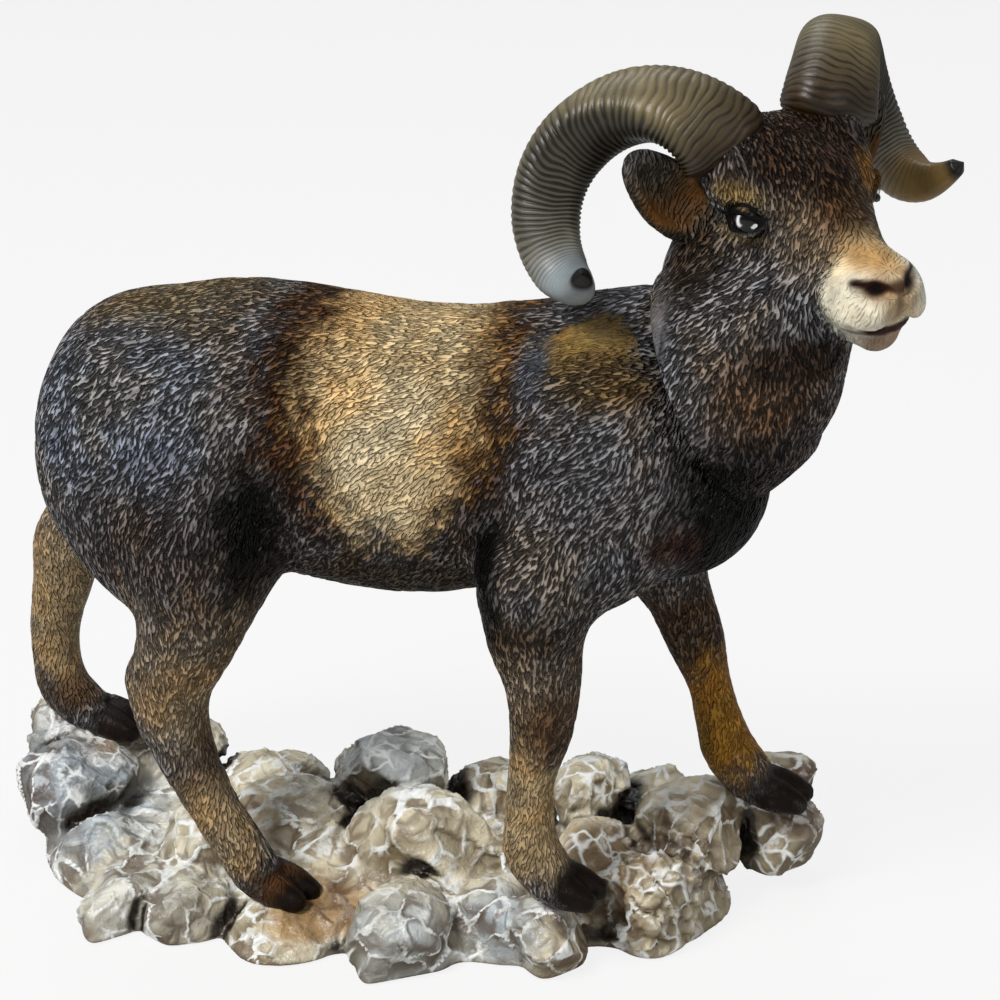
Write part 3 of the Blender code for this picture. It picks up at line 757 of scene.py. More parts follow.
@dataclass
class Body:
    """Trunk and legs, down to the hooves."""

    leg_spread: float = 16.5
    half_width: float = 20.5
    back_height: float = 105.6
    belly_height: float = 59.4
    step: float = 0.5
    waist: float = 3.0  # where the fore and hind pieces meet
    hollow_reaches: tuple[float, float] = (4.0, 7.0)
    hair: Hair = Hair()

    def clay(self) -> Clay:
        """Barrel, croup, withers, breast, tail, haunches, shoulders and legs.

        Returns:
            The clay, blended from limbs and muscles.
        """
        clay = Clay()
        middle = (self.back_height + self.belly_height) / 2
        depth = (self.back_height - self.belly_height) / 2
        clay.add(
            Limb(
                (-46, 0, middle + 1.4, 21),
                (-32, 0, middle + 1.6, depth + 0.2),
                (-8, 0, middle - 0.8, depth + 0.6),
                (8, 0, middle + 1.0, depth - 1.2),
                (26, 0, middle + 2, 18.5),
                squash=self.half_width / depth,
            )
        )
        clay.add(Muscle((-53, 0, 88), (14, 15, 14.5)), 5)
        clay.add(Muscle((35.5, 0, 80.5), (15.8, 14.5, 16)), 6)
        clay.add(Limb((12, 0, 98, 8), (24, 0, 100.5, 9), (32, 0, 102, 9)), 5)
        clay.add(Muscle((-68.8, 0, 78), (2.6, 3.4, 8)), 1.2)
        for side in Side:
            clay.add(Muscle((-47, side.value * 10, 79), (20, 12, 23)), 5)
            clay.add(Muscle((-41.7, side.value * 12.5, 70), (16.5, 9, 18.5)), 4)
        for side in Side:
            clay.add(Muscle((25, side.value * 11, 83), (15.5, 11.5, 21.5)), 5)
        self.near_legs(clay)
        self.far_legs(clay)
        return clay

    def near_legs(self, clay: Clay) -> None:
        """Adds the hind and the fore leg on the ram's right, which face the camera.

        Args:
            clay: Takes them.
        """
        y = -self.leg_spread
        thigh = (-37, y * 0.9, 68, 12), (-38.9, y, 55, 8.8), (-43, y, 43, 6.6), (-42, y, 33.5, 5.3)
        shank = (-37.3, y, 23, 4.3), (-33, y, 16, 4.2), (-29.8, y, 11, 4.2)
        clay.add(Limb(*thigh, *shank), 4)
        Hoof((-21.5, y, 5.5), -12).model(clay)
        clay.add(Limb((-44, y, 45, 5), (-48, y, 43.5, 3), (-45, y, 37, 4)), 2)
        arm = (18.5, y, 68, 10), (18.1, y, 59, 7.8), (19.3, y, 51, 6.1), (19.2, y, 43, 5.1)
        shank = (17.6, y, 34, 3.8), (17.3, y, 27, 4), (17.8, y, 21, 4.6), (20.5, y, 17, 4.4)
        clay.add(Limb(*arm, *shank), 4)
        Hoof((27.5, y, 12.5), -10).model(clay)

    def far_legs(self, clay: Clay) -> None:
        """Adds the hind and the fore leg on the ram's left.

        Args:
            clay: Takes them.
        """
        y = self.leg_spread
        thigh = (-54, y * 0.9, 70, 12), (-66, y, 60, 9), (-74.6, y, 53.8, 6.6), (-76.8, y, 46, 5.4)
        shank = (-79, y, 37, 4.5), (-79.2, y, 30, 4.3), (-78, y, 24.5, 4.6), (-74.5, y, 21, 4.3)
        clay.add(Limb(*thigh, *shank), 4)
        Hoof((-64.5, y, 16), -8).model(clay)
        arm = (30, y * 0.9, 64, 8.3), (33.8, y, 55, 5.8), (37.3, y, 46.5, 4.9), (39.8, y, 39, 3.7)
        shank = (41.8, y, 32, 4), (43.6, y, 27, 4.6), (47, y, 22.5, 4.4)
        clay.add(Limb(*arm, *shank), 4)
        Hoof((56, y, 17.5), -5).model(clay)

    def lie(self, points: np.ndarray) -> np.ndarray:
        """The coat lies backwards along the back and turns down on the flanks and legs.

        Its steepness is read off the height in straight steps, and is less on the saddle.

        Args:
            points: Vertices of the skin.

        Returns:
            The direction at each.
        """
        steepness = np.interp(points[:, 2], (20, 56, 66, 80, 94, 104), (87, 84, 74, 62, 46, 18))
        on_saddle = np.exp(-(((points[:, 0] + 5) / 16) ** 2))
        steepness = np.radians(steepness - 10 * on_saddle)
        aside = np.where(points[:, 1] > 0, 0.12, -0.12)
        return np.stack([-np.cos(steepness), aside, -np.sin(steepness)], axis=-1)

    def sprays(self) -> list[Spray]:
        """Paint of the body, placed on the ram's left and mirrored to its right.

        Returns:
            The sprays, first to last.
        """
        wide = 60.0
        return [
            # painted sheen: a blue-grey reflection on the haunch, laid into the coat
            Spray((-50, 20, 88), (18, 14, 16), Pigment.COAT_BLUE_SHEEN, 0.95, 1.0, 0.5, 0.7),
            Spray((-44, 0, 104), (18, 13, 7), Pigment.OLIVE_BROWN, 0.85, 0.8, 0.5),
            Spray((-42, 22, 68), (14, 12, 12), Pigment.WARM_DARK, 0.95, 1.0, 0.6, 0.7),
            Spray((-6, 0, 94), (23, wide, 28), Pigment.WARM_DARK, 0.95),
            Spray((-6.5, 0, 97), (20, wide, 24.5), Pigment.UMBER, 0.9, 1.0, 0.2),
            Spray((-3, 0, 97), (15, wide, 22), Pigment.SADDLE_EDGE, 0.6, 0.7, 0.2),
            Spray((-4.5, 0, 96), (13, wide, 21), Pigment.SADDLE, 0.4, 0.6, 0.35),
            # partly the saddle's pale paint, partly a painted highlight on the bulge of the flank
            Spray((-5, 20, 86), (9, 10, 12), Pigment.SADDLE_PALE_AND_HIGHLIGHT, 0.35, 0.6, 0.6, 0.7),
            Spray((9, 18, 92), (4, 16, 16), Pigment.UMBER, 0.8, 1.0, 0.6, 0.3),
            Spray((-4, 0, 60), (34, wide, 8), Pigment.BELLY, 0.9, 0.8),
            # painted shade in the groin
            Spray((-27, 20, 72), (6.5, 9, 12), Pigment.BLACK_AND_SHADE, 0.9, 0.8, 0.6),
            # painted shade in the crease behind the shoulder
            Spray((11, 22, 70), (3.5, 7, 12), Pigment.BLACK_AND_SHADE, 0.9, 0.8, 0.6),
            Spray((25, 13, 104.5), (7.5, 8, 5.5), Pigment.WITHERS, 0.3, 0.15, 0.14),
            Spray((28, 16, 100), (9, 6, 4), Pigment.MANE_BROWN, 0.85, 1.0, 0.5),
            # painted sheen: a bluish-grey streak on the withers in place of their gloss
            Spray((16.5, 14, 101.5), (2.6, 7, 6), Pigment.SLATE_AND_SHEEN, 0.6, 0.7, 0.6, 0.8),
            # black on the chest under the neck: partly black paint, partly painted shade
            Spray((45, 6, 79), (12, 13, 14), Pigment.BLACK_AND_SHADE, 0.9, 0.7, 0.35),
            Spray((39.5, 15, 74), (4, 5, 4), Pigment.OXIDE, 0.7, 0.7, 0.6, 0.7),
            Spray((-37, 16, 50), (14, 14, 12), Pigment.LEG_GREY, 0.75, 0.8, 0.5),
            Spray((-40, 16, 41), (9, 12, 10), Pigment.LEG_BEIGE, 0.4, 0.5, 0.5, 0.6),
            Spray((-36, 14, 30), (6, 8, 9), Pigment.KNEE, 0.45, 0.5, 0.6, 0.8),
            Spray((-35, 19, 19), (8, 5, 9), Pigment.LEG_BEIGE, 0.4, 0.5, 0.5, 0.8),
            Spray((19, 16, 49), (9, 14, 9), Pigment.LEG_GREY, 0.8, 0.9, 0.5),
            Spray((22, 15, 44), (5, 12, 8), Pigment.KNEE, 0.6, 0.6, 0.6),
            Spray((18, 17, 28), (8, 12, 12), Pigment.LEG_BEIGE, 0.3, 0.4, 0.4),
            Spray((-76, 16, 50), (12, 10, 12), Pigment.LEG_BEIGE, 0.35, 0.35, 0.5, 0.85),
            Spray((-77, 16, 35), (7, 8, 10), Pigment.LEG_BEIGE, 0.25, 0.3, 0.4, 0.9),
            Spray((-76, 16, 24), (6, 8, 4), Pigment.KNEE, 0.4, 0.3, 0.5, 0.8),
            Spray((36, 16, 50), (9, 8, 10), Pigment.KNEE, 0.7, 0.7, 0.5),
            Spray((42, 16, 33), (9, 9, 12), Pigment.LEG_OCHRE, 0.3, 0.35, 0.4),
            Spray((-24, 16.5, 8), (7.5, 7, 4.5), Pigment.HOOF_BROWN, 0.4, 0.1, 0.25),
            Spray((-21.5, 17, 6.5), (4.5, 7, 4), Pigment.HOOF, 0.3, 0, 0.3),
            Spray((26.5, 16.5, 15), (5.5, 7, 5.5), Pigment.HOOF, 0.3, 0, 0.2),
            Spray((-66.5, 16.5, 18.5), (7, 7, 5), Pigment.HOOF, 0.3, 0, 0.2),
            Spray((53, 16.5, 20), (6, 7, 4.5), Pigment.HOOF, 0.3, 0, 0.3),
        ]

    def build(self, finish: "CoatFinish") -> list[bpy.types.Object]:
        """Carves and paints the body, and parts it at the waist.

        Args:
            finish: The coat's finish.

        Returns:
            The hind and the fore piece.
        """
        clay = self.clay()
        skin = clay.skin((-86, -34, 3), (66, 34, 116), self.step)
        skin.relax(1)
        normals = skin.normals()
        painting = Painting.ground(len(skin.vertices), Pigment.COAT, 0.95, 1.0)
        painting.lay(mirrored(skin.vertices), self.sprays(), 0.16)
        # painted shade: the paint is darkened where the skin lies in a hollow or crease
        painting.shade_hollows(sunk(clay, skin.vertices, normals, self.hollow_reaches))
        lie = self.hair.combed(skin.vertices, normals, self.lie(skin.vertices))
        groove = self.hair.groove(self.hair.strokes(skin.vertices, lie))
        skin.vertices = skin.vertices - (self.hair.depth * painting.relief * groove)[:, None] * normals
        normals = skin.normals()
        layers = painting.layers() | {"lie": lie, "groove": groove}
        middles = skin.vertices[skin.faces].mean(axis=1)
        pieces = []
        behind = middles[:, 0] < self.waist
        for name, part in (("hindquarters", behind), ("forequarters", ~behind)):
            used, faces = np.unique(skin.faces[part].ravel(), return_inverse=True)
            share = {layer: values[used] for layer, values in layers.items()}
            faces = faces.reshape(-1, 4)
            part_skin = Skin(skin.vertices[used], faces)
            piece = make_object(name, part_skin, share, normals[used], cap(faces).tolist())
            piece.data.materials.append(finish.material())
            pieces.append(piece)
        return pieces


@dataclass
class HeadAndMane:
    """Head, ears, neck and throat, which lap over the shoulders in a crease."""

    head: Head = HEAD
    eye_radius: float = 3.25
    eye_middle: tuple[float, float] = (-1.4, 9.7)  # forward and aside, in the head's frame
    eye_outward: tuple[float, float] = (0.42, 0.9)  # forward and aside parts of the direction it faces
    mane_edge: tuple[float, float, float] = (38.2, 0.0, 99.0)  # a point on the plane that the mane ends at
    mane_slope: tuple[float, float, float] = (-0.9, 0.0, -0.43)
    step: float = 0.38
    hair: Hair = Hair(width=0.62, length=2.4, depth=0.22, seed=11)

    def limb(self, *stations: Sequence, **options) -> Limb:
        """A limb whose stations are in the head's frame."""
        return Limb(*[(*self.head.out(station[:3]), station[3]) for station in stations], **options)

    def muscle(self, centre: Sequence, radii: Sequence) -> Muscle:
        """A muscle in the head's frame."""
        return Muscle(self.head.out(centre), radii, self.head.axes)

    def clay(self) -> Clay:
        """Neck, skull, cheeks, muzzle, eyes and ears.

        Returns:
            The clay, blended from limbs and muscles.
        """
        clay = Clay()
        clay.add(
            Limb(
                (33, 0, 90, 19.4),
                (41, -0.5, 96, 18.2),
                (46, 0.5, 106, 14.4),
                (46.5, 3.5, 113, 13),
                (48, 4.5, 119, 10),
                squash=0.92,
            ),
            2,
        )
        clay.add(Limb((45, -2.5, 98.5, 17), (51.5, -4.5, 106.5, 12)), 3)
        clay.add(self.muscle((-8, 0, -0.5), (13, 11.0, 11.5)), 4)
        clay.add(self.muscle((-1.5, 0, 1.2), (8, 9.3, 6.2)), 4)
        clay.add(self.muscle((-1, 0, -8.5), (13, 9.0, 9.2)), 4)
        clay.add(self.limb((2, 0, -1.5, 7.6), (9, 0, -5, 6.0), (15, 0, -8, 5.2)), 3)
        clay.add(self.limb((2, 0, -11.8, 5.4), (9.5, 0, -12.6, 4.2), (16.6, 0, -13.0, 3.5)), 3)
        clay.add(self.muscle((15.0, 0, -6.2), (7.6, 6.9, 4.2)), 1.5)
        for side in Side:
            clay.add(self.muscle((-8.5, side.value * 8, 5), (7.5, 6, 6.5)), 3)
            clay.add(self.muscle((14.8, side.value * 3.1, -8.6), (7.6, 4.2, 4.1)), 1.5)
        for side in Side:
            self.mouth_and_nostril(clay, side)
            self.lids(clay, side)
            self.ear(clay, side)
        clay.carve(self.limb((22.4, 0, -5.6, 0.5), (22.6, 0, -9.6, 0.6)), 0.6)
        return clay

    def mouth_and_nostril(self, clay: Clay, side: Side) -> None:
        """Carves one half of the mouth and one nostril.

        Args:
            clay: Is carved.
            side: Which half.
        """
        s = side.value
        mouth = (14.5, s * 7.6, -12, 0.7), (18.5, s * 6, -11.4, 0.8), (22.2, 0, -10.2, 0.9)
        nostril = (21.6, s * 1.4, -5.2, 0.8), (20.6, s * 3.4, -4.4, 1.4), (18.2, s * 5.6, -4.4, 0.8)
        clay.carve(self.limb(*mouth), 0.5)
        clay.carve(self.limb(*nostril), 0.5)

    def eye_place(self, side: Side) -> tuple[np.ndarray, np.ndarray, np.ndarray]:
        """Where an eye is, in the head's frame.

        Args:
            side: Which eye.

        Returns:
            Middle of the eyeball, its outward direction and its ahead direction.
        """
        forward, left = self.eye_middle
        across, along = self.eye_outward
        ball = np.array((forward, side.value * left, 0.0))
        outward = np.array((across, side.value * along, 0.0))
        return ball, outward, np.array((along, -side.value * across, 0.0))

    def lids(self, clay: Clay, side: Side) -> None:
        """Adds the brow, the bed of the eyeball and the two lids that arch over it.

        Args:
            clay: Takes them.
            side: Which eye.
        """
        s = side.value
        ball, outward, ahead = self.eye_place(side)
        clay.add(self.limb((1.5, s * 8.2, 3.4, 1.2), (-1.5, s * 9.2, 4.0, 1.6), (-5, s * 9.6, 2.8, 1.3)), 3)
        radius = self.eye_radius
        clay.add(self.muscle(ball, (radius - 0.25,) * 3), 0.2)
        for rise in (36.0, -33.0):
            lid = []
            for share in (-1.0, -0.5, 0.0, 0.5, 1.0):
                lift = math.radians(rise * math.cos(math.radians(share * 90)))
                turn = math.radians(share * 70)
                level = math.cos(lift) * (math.cos(turn) * outward + math.sin(turn) * ahead)
                lid.append((*(ball + radius * (level + np.array((0, 0, math.sin(lift))))), 0.6))
            clay.add(self.limb(*lid), 0.4)

    def ear(self, clay: Clay, side: Side) -> None:
        """Adds a leaf-shaped ear behind the horn and hollows it towards the front.

        Args:
            clay: Takes it.
            side: Which ear.
        """
        s = side.value
        ahead = self.head.axes[0]
        leaf = (
            (-11, s * 10, -4.6, 3),
            (-12, s * 13.5, -2.2, 5),
            (-13, s * 17, 1.2, 5.1),
            (-14, s * 20.5, 5.2, 3.4),
            (-14.4, s * 22.4, 7.4, 1),
        )
        clay.add(self.limb(*leaf, flat=ahead, squash=0.45), 1.0)
        hollow = (
            (-9.1, s * 12.8, -3.1, 2.6),
            (-10.5, s * 16.4, 0.6, 3.7),
            (-11.7, s * 19.4, 4, 2.4),
            (-12.9, s * 21.2, 6, 0.7),
        )
        clay.carve(self.limb(*hollow, flat=ahead, squash=0.6), 0.6)

    def lie(self, points: np.ndarray) -> np.ndarray:
        """The coat's direction on neck, cheeks and forehead, which run into each other.

        Args:
            points: Vertices of the skin.

        Returns:
            The direction at each.
        """
        forward, _, up = self.head.axes
        local = self.head.into(points)
        on_head = smooth_step(-16, -4, local[:, 0] + 0.4 * local[:, 2])[:, None]
        above = smooth_step(1.0, 6.0, local[:, 2])[:, None]
        neck = np.array([0.5, 0.0, 0.86])
        cheek = 0.35 * forward + 0.93 * up
        forehead = -0.45 * forward + 0.9 * up
        return neck + on_head * (cheek + above * (forehead - cheek) - neck)

    def neck_sprays(self) -> list[Spray]:
        """Paint of the neck, in the figure's frame.

        Returns:
            The sprays, first to last.
        """
        return [
            Spray((52, -17, 98), (9, 9, 8), Pigment.COAT_BROWN, 0.9, 1.0, 0.6, 0.8),
            Spray((35, -12, 107), (2.2, 8, 6), Pigment.COAT, 0.3, 0.1, 0.4),
            Spray((39, -6, 117), (6, 7, 6), Pigment.BELLY, 0.9, 1.0, 0.5),
            Spray((56, -12, 105), (9, 12, 4), Pigment.FOREHEAD, 0.9, 0.8, 0.5),
            # painted shade low on the neck, under the edge of the mane
            Spray((46, -10, 84), (14, 16, 9), Pigment.BLACK_AND_SHADE, 0.95, 0.9, 0.4),
            Spray((56, -3, 92), (9, 12, 10), Pigment.WARM_DARK, 0.95, 1.0, 0.6, 0.7),
        ]

    def head_sprays(self) -> list[Spray]:
        """Paint of the head, in its own frame, placed on the left and mirrored to the right.

        Returns:
            The sprays, first to last.
        """
        ball, outward, _ = self.eye_place(Side.LEFT)
        rim = tuple(ball + 1.2 * outward + (0.0, 0.0, 0.4))
        corner = tuple(ball + 1.2 * outward + (-4.2, 0.0, -0.4))
        return [
            Spray((8, 5, -1), (7, 6, 7), Pigment.LEG_GREY, 0.6, 0.6, 0.5, 0.6),
            Spray((9, 0, 3), (7, 5, 5), Pigment.KNEE, 0.6, 0.7, 0.5),
            Spray((-2, 0, 8), (11, 12, 8), Pigment.FOREHEAD, 0.95, 1.3, 0.4),
            Spray((-2, 12, 3.2), (4.8, 4, 2.5), Pigment.BROW, 0.5, 0.7, 0.5, 0.9),
            Spray((-1.5, 11.5, -3), (5, 4, 1.5), Pigment.BROW, 0.4, 0.5, 0.6, 0.7),
            Spray((18.5, 0, -7.5), (8.6, 10, 9.2), Pigment.MUZZLE, 0.05, 0.05, 0.14),
            Spray((16.5, 0, -1), (6.5, 6, 2.4), Pigment.MUZZLE_TOP, 0.05, 0.05, 0.5),
            Spray((22, 0, -7), (3, 3, 4), Pigment.MUZZLE_TOP, 0.05, 0.05, 0.6, 0.8),
            Spray((19.5, 0, -14), (4, 5, 2.4), Pigment.CHIN, 0.1, 0.1, 0.6, 0.8),
            Spray((20.2, 3.0, -4.6), (3.4, 2.6, 1.7), Pigment.CHIN, 0, 0, 0.5, 0.6),
            Spray((19.8, 2.9, -4.6), (2.4, 1.9, 1.2), Pigment.LIP_LINE, 0, 0, 0.3),
            Spray((18.2, 4.6, -4.2), (1.9, 1.4, 0.7), Pigment.LIP_LINE, 0, 0, 0.3),
            # painted shade in the nostril's hole
            Spray((19.9, 2.7, -4.7), (1.6, 1.3, 0.8), Pigment.BLACK_AND_SHADE, 0, 0, 0.3),
            Spray((22, 0, -7), (1.5, 0.8, 4.6), Pigment.LIP_LINE, 0, 0, 0.8, 0.55),
            Spray((21.4, 0.8, -4.5), (1.8, 1.9, 0.8), Pigment.LIP_LINE, 0, 0, 0.5, 0.85),
            Spray((20.5, 1.6, -11.6), (3.0, 3.4, 0.85), Pigment.LIP_LINE, 0, 0, 0.3),
            Spray((17.5, 5.5, -12), (2.4, 2.6, 0.45), Pigment.LIP_LINE, 0, 0, 0.5, 0.7),
            Spray((-12.5, 17.5, 0.8), (4, 9.5, 8), Pigment.EAR_RIM, 0.7, 0.4, 0.3),
            Spray((-10.4, 17.0, 0.6), (2.4, 6.2, 5.0), Pigment.EAR_INSIDE, 0.1, 0.0, 0.3),
            Spray(rim, (3.6, 6.0, 2.2), Pigment.EYE_BLACK, 0, 0, 0.1),
            Spray(corner, (1.8, 3.0, 0.5), Pigment.EYE_BLACK, 0, 0, 0.4),
        ]

    def build(self, finish: "CoatFinish") -> bpy.types.Object:
        """Carves and paints the head with the neck.

        Args:
            finish: The coat's finish.

        Returns:
            The piece.
        """
        clay = self.clay()
        clay.carve(Beyond(self.mane_edge, self.mane_slope), 1.8)
        skin = clay.skin((14, -36, 70), (80, 36, 146), self.step)
        skin.relax(1)
        normals = skin.normals()
        painting = Painting.ground(len(skin.vertices), Pigment.COAT, 0.95, 1.0)
        painting.lay(skin.vertices, self.neck_sprays())
        local = self.head.into(skin.vertices)
        painting.lay(mirrored(local), self.head_sprays(), 0.06)
        far_brow = Spray((3, 9, 3.6), (5, 4, 3), Pigment.FAR_BROW, 0.7, 0.8, 0.5, 0.8)
        painting.lay(local, [far_brow])
        lie = self.hair.combed(skin.vertices, normals, self.lie(skin.vertices))
        groove = self.hair.groove(self.hair.strokes(skin.vertices, lie))
        skin.vertices = skin.vertices - (self.hair.depth * painting.relief * groove)[:, None] * normals
        piece = make_object("head_and_mane", skin, painting.layers() | {"lie": lie, "groove": groove})
        piece.data.materials.append(finish.material())
        return piece


@dataclass
class Eye:
    """A painted and glazed eyeball."""

    side: Side
    gaze_ahead: float = 0.35
    gaze_up: float = 0.2
    rows: int = 60
    columns: int = 90

    # place ahead and up, width and height as shares of the radius, paint, and how soft the edge is
    spots = (
        ((0.0, 0.0), (0.36, 0.36), Pigment.EYE_IRIS, 0.5),
        ((0.06, -0.02), (0.27, 0.29), Pigment.EYE_BLACK, 0.5),
        # the white crescent and the two white dots at the lower front are painted highlights
        ((-0.34, 0.0), (0.16, 0.3), Pigment.EYE_HIGHLIGHT, 0.25),
        ((-0.21, 0.07), (0.17, 0.28), Pigment.EYE_BLACK, 0.3),
        ((0.42, -0.14), (0.14, 0.09), Pigment.EYE_HIGHLIGHT, 0.3),
        ((0.31, -0.23), (0.1, 0.07), Pigment.EYE_HIGHLIGHT, 0.4),
    )

    def build(self, figure: HeadAndMane, finish: "EyeFinish") -> bpy.types.Object:
        """A sphere about the gaze: polar angle down the rows, bearing along the columns.

        Args:
            figure: The head that the eye sits in.
            finish: The glaze.

        Returns:
            The piece.
        """
        ball, outward, ahead = figure.eye_place(self.side)
        gaze = unit(outward + self.gaze_ahead * ahead + np.array((0.0, 0.0, self.gaze_up)))
        level = unit(ahead - (ahead @ gaze) * gaze)
        rise = np.cross(gaze, level) * -self.side.value
        polar, bearing = np.meshgrid(
            np.linspace(0.02, math.pi - 0.02, self.rows),
            np.linspace(0.0, 2 * math.pi, self.columns, endpoint=False),
            indexing="ij",
        )
        polar = polar.ravel()
        bearing = bearing.ravel()
        x = np.sin(polar) * np.cos(bearing)
        y = np.sin(polar) * np.sin(bearing)
        depth = np.cos(polar)
        local = ball + figure.eye_radius * (depth[:, None] * gaze + x[:, None] * level + y[:, None] * rise)
        paint = np.tile(Pigment.EYE_BLACK.rgba, (len(polar), 1))
        for (ahead_by, up_by), (wide, high), pigment, softness in self.spots:
            reach = np.hypot((x - ahead_by) / wide, (y - up_by) / high) + 9 * (depth < 0)
            weight = 1.0 - smooth_step(1.0 - softness, 1.0 + softness, reach)
            paint += weight[:, None] * (pigment.rgba - paint)
        faces = wrapped_grid(self.rows, self.columns, inward=self.side is Side.LEFT)
        skin = Skin(figure.head.out(local), faces)
        piece = make_object(f"eye_{self.side.name.lower()}", skin, {"paint": paint})
        piece.data.materials.append(finish.material())
        return piece


def wrapped_grid(rows: int, columns: int, inward: bool) -> np.ndarray:
    """Faces of a grid that closes on itself along its columns.

    Args:
        rows: Rings of vertices.
        columns: Vertices in a ring.
        inward: Whether the order of the vertices is turned round.

    Returns:
        Four vertex numbers per face.
    """
    row, column = np.indices((rows - 1, columns)).reshape(2, -1)
    following = (column + 1) % columns
    faces = np.stack(
        [
            row * columns + column,
            (row + 1) * columns + column,
            (row + 1) * columns + following,
            row * columns + following,
        ],
        axis=-1,
    )
    return faces[:, ::-1] if inward else faces


@dataclass
class Horn:
    """A horn: a rounded section carried along a curl that swings outwards, with wavy growth ridges."""

    side: Side
    head: Head = HEAD
    flare: float = 28.0
    curl_radii: tuple[float, float] = (9.9, 13.6)
    turn: tuple[float, float] = (23.0, 322.0)
    drift: tuple[float, float] = (8.5, 18.4)
    half_size: tuple[float, float] = (5.8, 5.8)
    root_flare: tuple[float, float] = (-0.5, 2.9)
    flare_fade: float = 0.18
    ridges: int = 62
    rings: int = 460
    columns: int = 72

    curl_centres = {Side.LEFT: (-16.4, 12.5, 3.4), Side.RIGHT: (-16.6, 12.5, 2.4)}
    # share of the length, and share of the half size there
    taper = (
        (0, 1),
        (0.45, 0.97),
        (0.65, 0.88),
        (0.8, 0.72),
        (0.88, 0.54),
        (0.94, 0.36),
        (0.98, 0.25),
        (1, 0.02),
    )

    def line(self, t: np.ndarray) -> np.ndarray:
        """Middle line: an arc whose radius grows, in a plane that swings outwards, drifting sideways.

        Args:
            t: Shares of the horn's length.

        Returns:
            A point for each, in the figure's frame.
        """
        turn = np.radians(self.turn[0] + (self.turn[1] - self.turn[0]) * t)
        radius = self.curl_radii[0] + (self.curl_radii[1] - self.curl_radii[0]) * t
        radius = radius - smooth_step(0.8, 1.0, t)
        flare = math.radians(self.flare)
        forward, left, up = self.curl_centres[self.side]
        ahead = radius * np.cos(turn)
        outwards = left - ahead * math.sin(flare) + self.drift[0] * t + self.drift[1] * t**2
        curl = [forward + ahead * math.cos(flare), self.side.value * outwards, up + radius * np.sin(turn)]
        return self.head.out(np.stack(curl, axis=-1))

    def build(self, finish: "HornFinish") -> bpy.types.Object:
        """Rings of points round the line; the growth ridges bend with the bearing round the section.

        The groove's depth is a power of a cosine of the ridge count along the horn, plus a bend that
        follows the bearing and a cloudy waver. It is deep on the inner side and shallow on the outer one.

        Args:
            finish: The horn's finish.

        Returns:
            The piece.
        """
        t = np.linspace(0.0, 1.0, self.rings)
        line = self.line(t)
        along = unit(np.gradient(line, axis=0))
        lateral = self.head.axes[1] * self.side.value
        lateral = unit(lateral - (along @ lateral)[:, None] * along)
        outer = -self.side.value * np.cross(along, lateral)
        size = np.interp(t, *zip(*self.taper)) * np.sqrt(1.0 - 0.9 * np.clip(1.0 - t / 0.07, 0.0, 1.0) ** 2)
        at_root = np.exp(-t / self.flare_fade)
        thick = (self.half_size[0] + self.root_flare[0] * at_root) * size
        wide = (self.half_size[1] + self.root_flare[1] * at_root) * size
        bearing = np.linspace(0.0, 2 * math.pi, self.columns, endpoint=False)
        lobes = 1.0 + 0.07 * np.cos(3 * (bearing - math.pi / 2))
        outwards = np.cos(bearing)
        sideways = np.sin(bearing)
        spoke = (lobes * outwards)[None, :, None] * outer[:, None] * thick[:, None, None]
        spoke = spoke + (lobes * sideways)[None, :, None] * lateral[:, None] * wide[:, None, None]
        points = (line[:, None] + spoke).reshape(-1, 3)
        waver = Clouds(3.0, 31).at(points).reshape(self.rings, self.columns)
        patchy = Clouds(1.6, 32).at(points).reshape(self.rings, self.columns)
        inner_side = smooth_step(-0.25, 0.35, -outwards + 0.15 * sideways)[None]
        count = self.ridges * t[:, None] + 0.8 * outwards[None] + 0.55 * waver
        groove = (0.5 + 0.5 * np.cos(2 * math.pi * count)) ** 1.5 * (0.85 + 0.3 * patchy)
        fade = smooth_step(0.02, 0.4, 1.0 - t)[:, None]
        depth = (0.15 + 0.16 * inner_side) * groove * fade
        points = points - depth.reshape(-1, 1) * unit(spoke.reshape(-1, 3))
        faces = wrapped_grid(self.rings, self.columns, inward=self.side is Side.LEFT)
        painting = Painting.ground(len(points), Pigment.HORN_OLIVE, 0.5, 1.0)
        self.tint(painting, t, inner_side, sideways)
        # painted shade: the growth grooves are painted darker, most on the inner side of the curl
        dark = (groove * (0.6 + 0.4 * inner_side) * (0.3 + 0.7 * fade)).ravel()
        layers = painting.layers() | {"groove": dark}
        piece = make_object(f"horn_{self.side.name.lower()}", Skin(points, faces), layers)
        piece.data.materials.append(finish.material())
        return piece

    def tint(
        self, painting: Painting, t: np.ndarray, inner_side: np.ndarray, sideways: np.ndarray
    ) -> None:
        """Brown at the root, olive to grey along the horn, dark inside the curl and black at the tip.

        Args:
            painting: Takes the paint.
            t: Share of the horn's length at each ring.
            inner_side: 1 on the inner side of the curl and 0 on the outer one, by bearing.
            sideways: How far each bearing points away from the head.
        """
        along = t[:, None] + 0 * inner_side
        inside = inner_side + 0 * t[:, None]
        medial = np.clip(-sideways, 0, 1)[None] + 0 * t[:, None]
        towards_tip = Pigment.HORN_TIP if self.side is Side.RIGHT else Pigment.WITHERS
        coats = (
            (0.75 * smooth_step(0.25, 0.7, along), Pigment.HORN_GREY, 0.6),
            (0.8 * inside * (1 - smooth_step(0.5, 0.8, along)), Pigment.HORN_DARK, 0.95),
            (0.5 * medial, Pigment.HORN_GREY, 0.7),
            (1.0 - smooth_step(0.02, 0.26, along), Pigment.HORN_BROWN, 0.95),
            (0.9 * smooth_step(0.7, 0.88, along), towards_tip, 0.4),
            (smooth_step(0.95, 0.98, along), Pigment.BLACK_AND_SHADE, 0.1),
        )
        for weight, pigment, wash in coats:
            weight = weight.ravel()
            painting.ridge += weight[:, None] * (pigment.linear - painting.ridge)
            painting.wash += weight * (wash - painting.wash)


